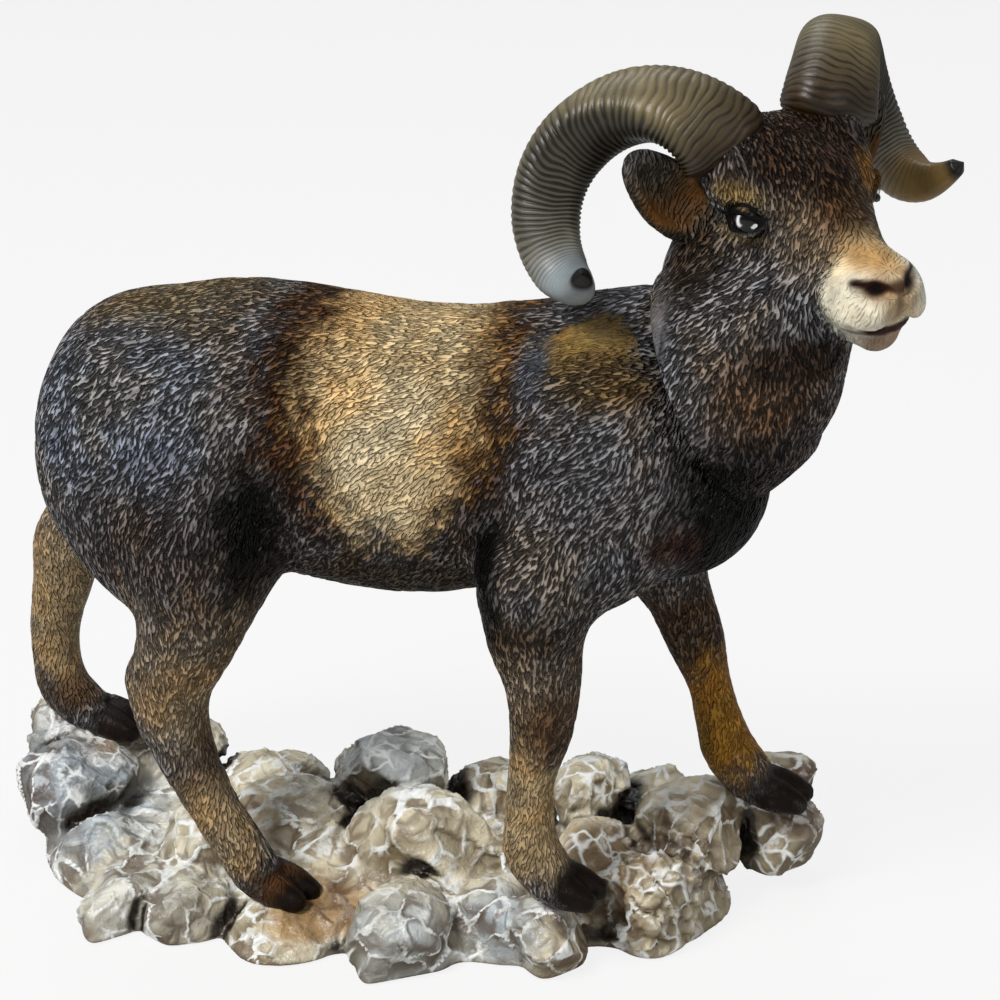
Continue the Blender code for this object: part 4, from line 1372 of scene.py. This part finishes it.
@dataclass
class Stones:
    """The heap of stones that the ram stands on."""

    step: float = 0.6
    chip_size: float = 6.4
    chip_depth: float = 0.9
    rough_chip: float = 2.6  # the finer chips of the rough rock at the front
    rough_depth: float = 1.5
    rough_reach: tuple[float, float] = (10.0, 15.0)  # from its middle, all rough to not rough
    arris_width: float = 1.0
    arris_height: float = 0.35
    hollow_reaches: tuple[float, float, float] = (1.5, 3.0, 5.0)

    # middle x, y, z, then half length, half depth and half height
    boulders = (
        (-78.5, 20, 12.5, 10.5, 11, 9),
        (-73, 8, 9, 12.5, 12, 9),
        (-60, -7, 4, 9.5, 9, 9),
        (-53, -18, 1, 8, 11.5, 8),
        (-41, -18, 1.5, 8, 11, 8),
        (-44, -4, 7, 8, 10, 8),
        (-25, -14.5, -1, 13, 14.5, 7.5),
        (-4, -19, 3, 9.5, 12.8, 10),
        (-16.5, 16, 15.5, 12, 12, 7),
        (-31, 6, 8.5, 12, 12, 7.5),
        (-4.5, -1, 11, 15, 12, 9.5),
        (13, -9, 3.5, 12.5, 10, 7.5),
        (20, -15, 5, 8, 8, 7),
        (20, 18, 15, 7.5, 10, 6.5),
        (25, 3, 11, 9, 10, 7.5),
        (34.5, -1, 6, 11, 11, 11),
        (38.5, 13, 13, 10.5, 12, 9),
        (51.5, 23, 9, 8.5, 9, 9),
        (51, 24, 17, 7.5, 8, 7.5),
        (-62, 24, 9, 12, 10, 10),
        (-42, 21, 6, 13, 11, 8),
        (2, 22, 7.5, 12, 10, 9),
        (30, 27, 8, 12, 9, 9.5),
    )
    rough_middle = (37.0, -4.0, 11.0)
    # middle x and y, then half length, half depth and height
    mounds = ((-70, 14, 9, 9, 16), (-46, 4, 30, 22, 9), (-8, 2, 38, 23, 10), (24, 9, 22, 17, 11))

    def clay(self) -> Clay:
        """Boulders on low mounds, level below.

        Returns:
            The clay.
        """
        clay = Clay()
        for seed, (x, y, z, length, depth, height) in enumerate(self.boulders):
            clay.add(Stone((x, y, z), (length, depth, height), seed), 0.8)
        for x, y, length, depth, height in self.mounds:
            clay.add(Muscle((x, y, 0), (length, depth, height)), 3)
        clay.carve(Beyond((0, 0, 0), (0, 0, -1)), 0.3)
        return clay

    def chips(self, points: np.ndarray, size: float) -> tuple[np.ndarray, np.ndarray]:
        """Flakes knocked off the stone: each cell round a scattered point has a tilted plane of its own.

        Args:
            points: Vertices of the skin.
            size: Of a cell.

        Returns:
            The plane's height at each vertex, from -1 to 1, and the distance to the border between cells.
        """
        side = 24
        random = np.random.default_rng(8)
        jitter = random.uniform(0.0, 1.0, (side, side, side, 3))
        tilts = random.normal(size=(side, side, side, 3))
        warp = np.stack([Clouds(3.5, seed).at(points) for seed in (41, 42, 43)], axis=-1)
        place = (points + 0.22 * size * warp) @ TILTED.T / size
        cell = np.floor(place).astype(int)
        nearest = np.full(len(points), np.inf)
        second = np.full(len(points), np.inf)
        height = np.zeros(len(points))
        for shift in np.ndindex(3, 3, 3):
            other = cell + np.array(shift) - 1
            index = tuple((other % side).T)
            away = place - other - jitter[index]
            distance = np.linalg.norm(away, axis=1)
            closer = distance < nearest
            second = np.where(closer, nearest, np.minimum(second, distance))
            nearest = np.where(closer, distance, nearest)
            height = np.where(closer, (away * tilts[index]).sum(axis=1), height)
        return np.clip(height, -1.0, 1.0), (second - nearest) * size

    def sprays(self) -> list[Spray]:
        """Blue and slate at the rear and in front, tan, ochre and rust round the hooves.

        Returns:
            The sprays, first to last.
        """
        return [
            Spray((-70, 0, 14), (18, 22, 14), Pigment.STONE_BLUE, softness=0.5, strength=0.85),
            Spray((-78, 6, 10), (15, 24, 14), Pigment.SLATE_AND_SHEEN, softness=0.6, strength=0.5),
            Spray((-48, -22, 4), (12, 12, 7), Pigment.STONE_BLUE, softness=0.6, strength=0.4),
            Spray((-2, -26, 5), (12, 9, 9), Pigment.STONE_BLUE, softness=0.6, strength=0.7),
            Spray((-15, 12, 20), (14, 10, 6), Pigment.STONE_BLUE, softness=0.6, strength=0.7),
            Spray((13, -16, 6), (10, 7, 6), Pigment.STONE_BLUE, softness=0.6, strength=0.8),
            Spray((-18, -18, 6), (10, 9, 4), Pigment.STONE_TAN, 0, softness=0.3, strength=0.9),
            Spray((-38, 2, 12), (8, 8, 6), Pigment.STONE_OCHRE, softness=0.6, strength=0.5),
            Spray((27, -4, 14), (9, 9, 6), Pigment.STONE_OCHRE, softness=0.6, strength=0.75),
            Spray((36, 4, 12), (14, 12, 10), Pigment.STONE_OCHRE, softness=0.7, strength=0.35),
            Spray((57, 17, 18), (9, 11, 8), Pigment.STONE_RUST, softness=0.5, strength=0.8),
            Spray((-66, 16, 18), (9, 9, 5), Pigment.STONE_OCHRE, softness=0.5, strength=0.7),
            Spray((-21.5, -16.5, 5), (5, 5, 3), Pigment.STONE_OCHRE, 0, softness=0.6, strength=0.7),
            Spray((27, -17, 12), (6, 5, 4), Pigment.STONE_RUST, softness=0.6, strength=0.9),
        ]

    def build(self, finish: "StoneFinish") -> bpy.types.Object:
        """Chips and paints the heap.

        Args:
            finish: The stones' finish.

        Returns:
            The piece.
        """
        clay = self.clay()
        skin = clay.skin((-94, -40, -1.3), (74, 48, 30), self.step)
        skin.relax(1)
        normals = skin.normals()
        hollow = sunk(clay, skin.vertices, normals, self.hollow_reaches)
        on_top = smooth_step(0.5, 2.0, skin.vertices[:, 2])
        coarse, border = self.chips(skin.vertices, self.chip_size)
        arris = 1.0 - smooth_step(0.0, self.arris_width, border)
        fine, _ = self.chips(skin.vertices, self.rough_chip)
        from_rough = np.linalg.norm(skin.vertices - self.rough_middle, axis=1)
        rough = 1.0 - smooth_step(*self.rough_reach, from_rough)
        dent = self.chip_depth * (0.5 + 0.5 * coarse) + rough * self.rough_depth * (0.5 + 0.5 * fine)
        facet = 0.5 - 0.4 * (coarse + rough * (fine - coarse))
        inwards = (dent - self.arris_height * arris) * on_top
        skin.vertices = skin.vertices - inwards[:, None] * normals
        skin.vertices[:, 2] = np.maximum(skin.vertices[:, 2], 0.0)
        # painted light: each facet keeps a tone of its own, and is made lighter the more it faces up and
        # darker the more it faces down
        facet = np.clip(facet + 0.55 * (skin.normals()[:, 2] - 0.45), 0.0, 1.0)
        painting = Painting.ground(len(skin.vertices), Pigment.STONE_GREY, 1.0, 1.0)
        painting.lay(skin.vertices, self.sprays(), 0.2)
        layers = painting.layers() | {"hollow": hollow, "arris": arris, "facet": facet}
        piece = make_object("stones", skin, layers)
        piece.data.materials.append(finish.material())
        return piece


def put(tree: bpy.types.NodeTree, kind: str, inputs: dict | None = None, **settings) -> bpy.types.Node:
    """Adds a node to a tree.

    Args:
        tree: Where it goes.
        kind: The node's type.
        inputs: By socket name or number: a value, or the output socket that feeds it.
        settings: The node's own properties.

    Returns:
        The node.
    """
    node = tree.nodes.new(kind)
    for name, value in settings.items():
        setattr(node, name, value)
    for name, value in (inputs or {}).items():
        if isinstance(value, bpy.types.NodeSocket):
            tree.links.new(value, node.inputs[name])
        else:
            node.inputs[name].default_value = value
    return node


def layer(tree: bpy.types.NodeTree, name: str, output: str = "Fac") -> bpy.types.NodeSocket:
    """The output of an Attribute node that reads one of the piece's vertex layers."""
    return put(tree, "ShaderNodeAttribute", attribute_name=name).outputs[output]


def ramp(
    tree: bpy.types.NodeTree, value: bpy.types.NodeSocket, low: float, high: float
) -> bpy.types.NodeSocket:
    """0 where the value is at low, 1 where it is at high, and an S between. Low may be the greater one."""
    inputs = {"Value": value, "From Min": low, "From Max": high}
    return put(tree, "ShaderNodeMapRange", inputs, interpolation_type="SMOOTHSTEP").outputs[0]


def sums(tree: bpy.types.NodeTree, operation: str, a: object, b: object) -> bpy.types.NodeSocket:
    """One Math node."""
    return put(tree, "ShaderNodeMath", {0: a, 1: b}, operation=operation).outputs[0]


def vectors(tree: bpy.types.NodeTree, operation: str, inputs: dict) -> bpy.types.NodeSocket:
    """One Vector Math node."""
    return put(tree, "ShaderNodeVectorMath", inputs, operation=operation).outputs[0]


def blend(
    tree: bpy.types.NodeTree, factor: object, a: object, b: object, how: str = "MIX"
) -> bpy.types.NodeSocket:
    """One colour Mix node."""
    mixed = put(tree, "ShaderNodeMix", {0: factor, 6: a, 7: b}, data_type="RGBA", blend_type=how)
    return mixed.outputs[2]


def resin_grain() -> bpy.types.NodeTree:
    """Node group: the fine unevenness of cast and brushed resin, as a height and a light-dark shade.

    Returns:
        The group, made once.
    """
    name = "resin grain"
    if name in bpy.data.node_groups:
        return bpy.data.node_groups[name]
    group = bpy.data.node_groups.new(name, "ShaderNodeTree")
    group.interface.new_socket("Vector", in_out="INPUT", socket_type="NodeSocketVector")
    group.interface.new_socket("Scale", in_out="INPUT", socket_type="NodeSocketFloat")
    group.interface.new_socket("Height", in_out="OUTPUT", socket_type="NodeSocketFloat")
    group.interface.new_socket("Shade", in_out="OUTPUT", socket_type="NodeSocketFloat")
    given = put(group, "NodeGroupInput").outputs
    fine = {"Vector": given["Vector"], "Scale": given["Scale"], "Detail": 3.0, "Roughness": 0.6}
    height = put(group, "ShaderNodeTexNoise", fine).outputs[0]
    broad_scale = sums(group, "MULTIPLY", given["Scale"], 0.16)
    broad = {"Vector": given["Vector"], "Scale": broad_scale, "Detail": 2.0, "Roughness": 0.5}
    shade = put(group, "ShaderNodeTexNoise", broad).outputs[0]
    put(group, "NodeGroupOutput", {"Height": height, "Shade": ramp(group, shade, 0.3, 0.7)})
    return group


def hair_strokes() -> bpy.types.NodeTree:
    """Node group: fine clouds averaged along the lie of the coat, which makes them thin streaks.

    Its output has a mean of about a half.

    Returns:
        The group, made once.
    """
    name = "hair strokes"
    if name in bpy.data.node_groups:
        return bpy.data.node_groups[name]
    group = bpy.data.node_groups.new(name, "ShaderNodeTree")
    for socket, kind in (("Vector", "Vector"), ("Lie", "Vector"), ("Length", "Float"), ("Scale", "Float")):
        group.interface.new_socket(socket, in_out="INPUT", socket_type=f"NodeSocket{kind}")
    group.interface.new_socket("Value", in_out="OUTPUT", socket_type="NodeSocketFloat")
    given = put(group, "NodeGroupInput").outputs
    shares = np.linspace(-0.43, 0.43, 8)
    weights = np.cos(math.pi * shares) ** 2
    total = 0.0
    for share, weight in zip(shares, weights / weights.sum()):
        reach = sums(group, "MULTIPLY", given["Length"], float(share))
        shift = vectors(group, "SCALE", {0: given["Lie"], "Scale": reach})
        place = vectors(group, "ADD", {0: given["Vector"], 1: shift})
        clouds = put(group, "ShaderNodeTexNoise", {"Vector": place, "Scale": given["Scale"], "Detail": 0.0})
        inputs = {0: clouds.outputs[0], 1: float(weight), 2: total}
        total = put(group, "ShaderNodeMath", inputs, operation="MULTIPLY_ADD").outputs[0]
    put(group, "NodeGroupOutput", {"Value": total})
    return group


def finished(name: str) -> tuple[bpy.types.Material, bpy.types.NodeTree, bpy.types.Node]:
    """Makes a material.

    Args:
        name: Of the material.

    Returns:
        The material, its tree and its Principled shader.
    """
    material = bpy.data.materials.new(name)
    material.use_nodes = True
    return material, material.node_tree, material.node_tree.nodes["Principled BSDF"]


def grain_of(tree: bpy.types.NodeTree, scale: float) -> bpy.types.Node:
    """Puts the resin grain group into a material, on Object coordinates.

    Args:
        tree: The material's tree.
        scale: In clouds per metre.

    Returns:
        The group's node.
    """
    grain = put(tree, "ShaderNodeGroup", node_tree=resin_grain())
    place = put(tree, "ShaderNodeTexCoord").outputs["Object"]
    tree.links.new(place, grain.inputs["Vector"])
    grain.inputs["Scale"].default_value = scale
    return grain


@dataclass(frozen=True)
class CoatFinish:
    """Painted, carved hair under a satin varnish: a dark wash in the cuts, which is also painted shade, and
    a lighter brush over the tufts, which is also a painted highlight.

    The three ranges are values of the hair strokes, of which a half is the mean.
    """

    name: str = "painted_coat"
    roughness: float = 0.4
    rougher_in_cuts: float = 0.25
    specular: float = 0.12
    grain_scale: float = 2200.0  # clouds per metre
    hair_length: float = 1.7  # mm
    hairs: float = 2300.0  # clouds per metre across the hair
    groove_at: tuple[float, float] = (0.475, 0.43)
    brush_at: tuple[float, float] = (0.49, 0.57)
    plateau_at: tuple[float, float] = (0.4, 0.58)
    relief: float = 3.6  # mm
    cast_scale: float = 110.0  # of the cool and warm patches, in clouds per metre
    brushed: float = 1.95  # how much lighter the tufts are than the paint

    def material(self) -> bpy.types.Material:
        """Builds the material once.

        Returns:
            The material.
        """
        if self.name in bpy.data.materials:
            return bpy.data.materials[self.name]
        material, tree, shader = finished(self.name)
        grain = grain_of(tree, self.grain_scale)
        place = put(tree, "ShaderNodeTexCoord").outputs["Object"]
        hair = put(tree, "ShaderNodeGroup", node_tree=hair_strokes())
        tree.links.new(place, hair.inputs["Vector"])
        tree.links.new(layer(tree, "lie", "Vector"), hair.inputs["Lie"])
        hair.inputs["Length"].default_value = self.hair_length * MM
        hair.inputs["Scale"].default_value = self.hairs
        strokes = hair.outputs[0]
        wash = sums(tree, "POWER", layer(tree, "wash"), 2.0)
        carved = sums(tree, "MULTIPLY", layer(tree, "groove"), wash)
        groove = sums(tree, "MULTIPLY", ramp(tree, strokes, *self.groove_at), wash)
        brush = sums(tree, "MULTIPLY", ramp(tree, strokes, *self.brush_at), wash)
        paint = layer(tree, "paint", "Color")
        shade = blend(tree, grain.outputs["Shade"], (0.75, 0.75, 0.75, 1), (1.15, 1.15, 1.15, 1))
        patches = {"Vector": place, "Scale": self.cast_scale, "Detail": 1.0}
        cast = put(tree, "ShaderNodeTexNoise", patches).outputs[0]
        cool = blend(tree, ramp(tree, cast, 0.35, 0.5), (0.93, 0.99, 1.08, 1), (1.0, 1.0, 1.0, 1))
        warm = blend(tree, ramp(tree, cast, 0.5, 0.66), cool, (1.12, 1.0, 0.84, 1))
        shade = blend(tree, 1.0, shade, warm, "MULTIPLY")
        body = blend(tree, 1.0, paint, shade, "MULTIPLY")
        # painted highlight: the tufts are made lighter, as dry brush catching them
        light = blend(tree, 1.0, body, (self.brushed, self.brushed, self.brushed, 1), "MULTIPLY")
        # painted shade: the cuts are made nearly black, partly a dark wash pooled in them
        deep = blend(tree, 1.0, paint, (0.1, 0.09, 0.08, 1), "MULTIPLY")
        body = blend(tree, brush, body, light)
        body = blend(tree, sums(tree, "MULTIPLY", carved, 0.5), body, deep)
        tree.links.new(blend(tree, groove, body, deep), shader.inputs["Base Color"])
        height = sums(tree, "MULTIPLY", ramp(tree, strokes, *self.plateau_at), layer(tree, "relief"))
        height = sums(tree, "ADD", height, sums(tree, "MULTIPLY", grain.outputs["Height"], 0.03))
        relief = {"Height": height, "Distance": self.relief * MM, "Strength": 1.0}
        bump = put(tree, "ShaderNodeBump", relief)
        tree.links.new(bump.outputs[0], shader.inputs["Normal"])
        rough = sums(tree, "ADD", sums(tree, "MULTIPLY", groove, self.rougher_in_cuts), self.roughness)
        tree.links.new(rough, shader.inputs["Roughness"])
        shader.inputs["Specular IOR Level"].default_value = self.specular
        return material


@dataclass(frozen=True)
class HornFinish:
    """Painted horn: dark lines in the growth grooves, which are also painted shade, and a rubbed sheen on
    the ridges.
    """

    name: str = "painted_horn"
    roughness: float = 0.4
    specular: float = 0.4
    grain_scale: float = 900.0  # clouds per metre
    grain_height: float = 0.08  # mm

    def material(self) -> bpy.types.Material:
        """Builds the material once.

        Returns:
            The material.
        """
        if self.name in bpy.data.materials:
            return bpy.data.materials[self.name]
        material, tree, shader = finished(self.name)
        grain = grain_of(tree, self.grain_scale)
        groove = ramp(tree, layer(tree, "groove"), 0.1, 0.6)
        paint = layer(tree, "paint", "Color")
        shade = blend(tree, grain.outputs["Shade"], (0.75, 0.75, 0.75, 1), (1.18, 1.18, 1.18, 1))
        body = blend(tree, 1.0, paint, shade, "MULTIPLY")
        # painted shade in the growth grooves: nearly black, partly a dark wash lying there
        deep = blend(tree, 1.0, paint, (0.04, 0.04, 0.04, 1), "MULTIPLY")
        washed = sums(tree, "MULTIPLY", groove, layer(tree, "wash"))
        tree.links.new(blend(tree, washed, body, deep), shader.inputs["Base Color"])
        relief = {"Height": grain.outputs["Height"], "Distance": self.grain_height * MM, "Strength": 1.0}
        bump = put(tree, "ShaderNodeBump", relief)
        tree.links.new(bump.outputs[0], shader.inputs["Normal"])
        rough = sums(tree, "MULTIPLY", grain.outputs["Height"], 0.2)
        rough = sums(tree, "ADD", rough, self.roughness - 0.1)
        tree.links.new(rough, shader.inputs["Roughness"])
        shader.inputs["Specular IOR Level"].default_value = self.specular
        return material


@dataclass(frozen=True)
class StoneFinish:
    """Grey stone, glossy, with white dry-brushed on its arrises and on a net of cracks.

    A brown wash lies in the cracks that stay dark, and painted shade, nearly black, in the hollows between
    the stones.
    """

    name: str = "painted_stone"
    roughness: float = 0.32
    specular: float = 0.5
    grain_scale: float = 900.0  # clouds per metre
    crack_scale: float = 250.0  # cells per metre
    crack_warp: float = 4.0  # mm
    warp_scale: float = 180.0  # clouds per metre
    patch_scale: float = 95.0  # of the patches with and without white, in clouds per metre
    smear_scale: float = 330.0  # of the dry brush's broken smears, in clouds per metre
    relief: float = 0.4  # mm

    def material(self) -> bpy.types.Material:
        """Builds the material once.

        Returns:
            The material.
        """
        if self.name in bpy.data.materials:
            return bpy.data.materials[self.name]
        material, tree, shader = finished(self.name)
        grain = grain_of(tree, self.grain_scale)
        place = put(tree, "ShaderNodeTexCoord").outputs["Object"]
        clouds = {"Vector": place, "Scale": self.warp_scale, "Detail": 2.0}
        warp = put(tree, "ShaderNodeTexNoise", clouds).outputs["Color"]
        centred = vectors(tree, "SUBTRACT", {0: warp, 1: (0.5, 0.5, 0.5)})
        offset = vectors(tree, "SCALE", {0: centred, "Scale": self.crack_warp * MM})
        bent = vectors(tree, "ADD", {0: place, 1: offset})
        cracks = {"Vector": bent, "Scale": self.crack_scale}
        edge = put(tree, "ShaderNodeTexVoronoi", cracks, feature="DISTANCE_TO_EDGE").outputs["Distance"]
        patches = {"Vector": place, "Scale": self.patch_scale, "Detail": 1.0}
        patchy = put(tree, "ShaderNodeTexNoise", patches).outputs[0]
        uneven = sums(tree, "MULTIPLY", grain.outputs["Height"], 0.9)
        arris = ramp(tree, sums(tree, "ADD", layer(tree, "arris"), uneven), 0.85, 1.25)
        arris = sums(tree, "MULTIPLY", arris, ramp(tree, patchy, 0.44, 0.58))
        line = sums(tree, "MULTIPLY", ramp(tree, edge, 0.12, 0.02), ramp(tree, patchy, 0.45, 0.35))
        smears = {"Vector": bent, "Scale": self.smear_scale, "Detail": 4.0}
        smear = ramp(tree, put(tree, "ShaderNodeTexNoise", smears).outputs[0], 0.52, 0.62)
        smear = sums(tree, "MULTIPLY", smear, ramp(tree, layer(tree, "facet"), 0.5, 0.9))
        line = sums(tree, "MAXIMUM", line, sums(tree, "MULTIPLY", smear, 0.7))
        hollow = layer(tree, "hollow")
        white = sums(tree, "MULTIPLY", sums(tree, "MAXIMUM", arris, line), ramp(tree, hollow, 0.6, 0.25))
        white = sums(tree, "MULTIPLY", white, layer(tree, "wash"))
        paint = layer(tree, "paint", "Color")
        shade = blend(tree, grain.outputs["Shade"], (0.7, 0.68, 0.64, 1), (1.15, 1.15, 1.15, 1))
        body = blend(tree, 1.0, paint, shade, "MULTIPLY")
        # each facet's own tone, with painted light: lighter where it faces up, darker where it faces down
        tone_and_shade = blend(tree, layer(tree, "facet"), (0.34, 0.29, 0.22, 1), (1.3, 1.32, 1.35, 1))
        body = blend(tree, 1.0, body, tone_and_shade, "MULTIPLY")
        crevice = sums(tree, "MULTIPLY", ramp(tree, edge, 0.22, 0.05), ramp(tree, patchy, 0.42, 0.6))
        body = blend(tree, sums(tree, "MULTIPLY", crevice, 0.6), body, Pigment.STONE_RUST.rgba)
        # painted shade in the hollows between the stones
        body = blend(tree, ramp(tree, hollow, 0.22, 0.8), body, Pigment.STONE_SHADE.rgba)
        tree.links.new(blend(tree, white, body, Pigment.CHALK.rgba), shader.inputs["Base Color"])
        pillow = sums(tree, "MULTIPLY", ramp(tree, edge, 0.0, 0.22), -0.5)
        height = sums(tree, "ADD", pillow, grain.outputs["Height"])
        relief = {"Height": height, "Distance": self.relief * MM, "Strength": 1.0}
        bump = put(tree, "ShaderNodeBump", relief)
        tree.links.new(bump.outputs[0], shader.inputs["Normal"])
        shader.inputs["Roughness"].default_value = self.roughness
        shader.inputs["Specular IOR Level"].default_value = self.specular
        return material


@dataclass(frozen=True)
class EyeFinish:
    """Painted eye under clear glaze."""

    name: str = "glazed_eye"
    roughness: float = 0.1
    specular: float = 0.3
    glaze: float = 0.15
    glaze_roughness: float = 0.05

    def material(self) -> bpy.types.Material:
        """Builds the material once.

        Returns:
            The material.
        """
        if self.name in bpy.data.materials:
            return bpy.data.materials[self.name]
        material, tree, shader = finished(self.name)
        tree.links.new(layer(tree, "paint", "Color"), shader.inputs["Base Color"])
        shader.inputs["Roughness"].default_value = self.roughness
        shader.inputs["Specular IOR Level"].default_value = self.specular
        shader.inputs["Coat Weight"].default_value = self.glaze
        shader.inputs["Coat Roughness"].default_value = self.glaze_roughness
        return material


@dataclass
class Studio:
    """Pale floor, soft lamps and the camera."""

    target: tuple[float, float, float] = (8.0, 0.0, 74.0)
    azimuth: float = 15.0
    elevation: float = 20.0
    distance: float = 400.0
    lens: float = 90.0
    frame_width: float = 36.0
    sky: float = 0.22  # strength of the light from all round
    floor_half: float = 4.0  # metres
    floor_glow: float = 0.85  # share of the floor that the camera sees as plain white

    def direction(self, azimuth: float, elevation: float) -> np.ndarray:
        """Direction from the figure to a place round it.

        Args:
            azimuth: Degrees from -Y towards +X.
            elevation: Degrees above the floor.

        Returns:
            A unit vector.
        """
        turn = math.radians(azimuth)
        rise = math.radians(elevation)
        level = math.cos(rise)
        return np.array([math.sin(turn) * level, -math.cos(turn) * level, math.sin(rise)])

    def aim(self, thing: bpy.types.Object, azimuth: float, elevation: float, distance: float) -> None:
        """Places a camera or lamp round the target and turns it towards the target.

        Args:
            thing: The camera or lamp.
            azimuth: Degrees from -Y towards +X.
            elevation: Degrees above the floor.
            distance: From the target, in millimetres.
        """
        thing.location = (np.array(self.target) + distance * self.direction(azimuth, elevation)) * MM
        thing.rotation_euler = (math.radians(90.0 - elevation), 0.0, math.radians(azimuth))

    def camera(self) -> None:
        """The photograph's view."""
        data = bpy.data.cameras.new("camera")
        data.lens = self.lens
        data.sensor_width = self.frame_width
        data.clip_start = 0.01
        data.clip_end = 20.0
        camera = bpy.data.objects.new("camera", data)
        bpy.context.scene.collection.objects.link(camera)
        self.aim(camera, self.azimuth, self.elevation, self.distance)
        bpy.context.scene.camera = camera

    def lamp(self, name: str, place: tuple, size: float, power: float, colour: tuple) -> None:
        """A square area lamp, aimed at the target.

        Args:
            name: Of the lamp.
            place: Azimuth, elevation and distance in millimetres.
            size: Side of the square, in metres.
            power: In watts.
            colour: Linear red, green and blue.
        """
        data = bpy.data.lights.new(name, "AREA")
        data.size = size
        data.energy = power
        data.color = colour
        lamp = bpy.data.objects.new(name, data)
        bpy.context.scene.collection.objects.link(lamp)
        self.aim(lamp, *place)

    def lights(self) -> None:
        """A key from the upper left, a warm fill from the right, a cool light from behind, and the sky."""
        self.lamp("key", (-32, 46, 1000), 0.32, 9.0, (1.0, 0.985, 0.96))
        self.lamp("fill", (65, 20, 1100), 0.6, 2.0, (1.0, 0.93, 0.84))
        self.lamp("back", (-150, 60, 1000), 0.5, 2.6, (0.93, 0.97, 1.0))
        world = bpy.data.worlds.new("studio")
        world.use_nodes = True
        tree = world.node_tree
        background = tree.nodes["Background"]
        seen = put(tree, "ShaderNodeLightPath").outputs["Is Camera Ray"]
        strength = sums(tree, "ADD", sums(tree, "MULTIPLY", seen, 1.0 - self.sky), self.sky)
        tree.links.new(strength, background.inputs["Strength"])
        background.inputs["Color"].default_value = (1.0, 1.0, 1.0, 1.0)
        bpy.context.scene.world = world

    def floor(self) -> None:
        """A pale floor that keeps a faint shadow."""
        half = self.floor_half
        mesh = bpy.data.meshes.new("floor")
        corners = [(-half, -half, 0), (half, -half, 0), (half, half, 0), (-half, half, 0)]
        mesh.from_pydata(corners, [], [(0, 1, 2, 3)])
        floor = bpy.data.objects.new("floor", mesh)
        bpy.context.scene.collection.objects.link(floor)
        material, tree, shader = finished("pale_floor")
        shader.inputs["Base Color"].default_value = (0.6, 0.6, 0.6, 1.0)
        shader.inputs["Roughness"].default_value = 0.9
        shader.inputs["Specular IOR Level"].default_value = 0.1
        glow = put(tree, "ShaderNodeEmission", {"Color": (1.0, 1.0, 1.0, 1.0), "Strength": 1.0}).outputs[0]
        seen = put(tree, "ShaderNodeLightPath").outputs["Is Camera Ray"]
        share = sums(tree, "MULTIPLY", seen, self.floor_glow)
        both = put(tree, "ShaderNodeMixShader", {0: share, 1: shader.outputs[0], 2: glow}).outputs[0]
        tree.links.new(both, tree.nodes["Material Output"].inputs["Surface"])
        mesh.materials.append(material)

    def build(self) -> None:
        """Sets the stage."""
        self.camera()
        self.lights()
        self.floor()
        bpy.context.scene.view_settings.view_transform = "Standard"


def main() -> None:
    """Builds the figure's pieces in order."""
    logging.basicConfig(level=logging.INFO, format="%(message)s")
    Studio().build()
    coat = CoatFinish()
    Body().build(coat)
    head = HeadAndMane()
    head.build(coat)
    for side in Side:
        Eye(side).build(head, EyeFinish())
        Horn(side).build(HornFinish())
    Stones().build(StoneFinish())


if __name__ == "__main__":
    main()
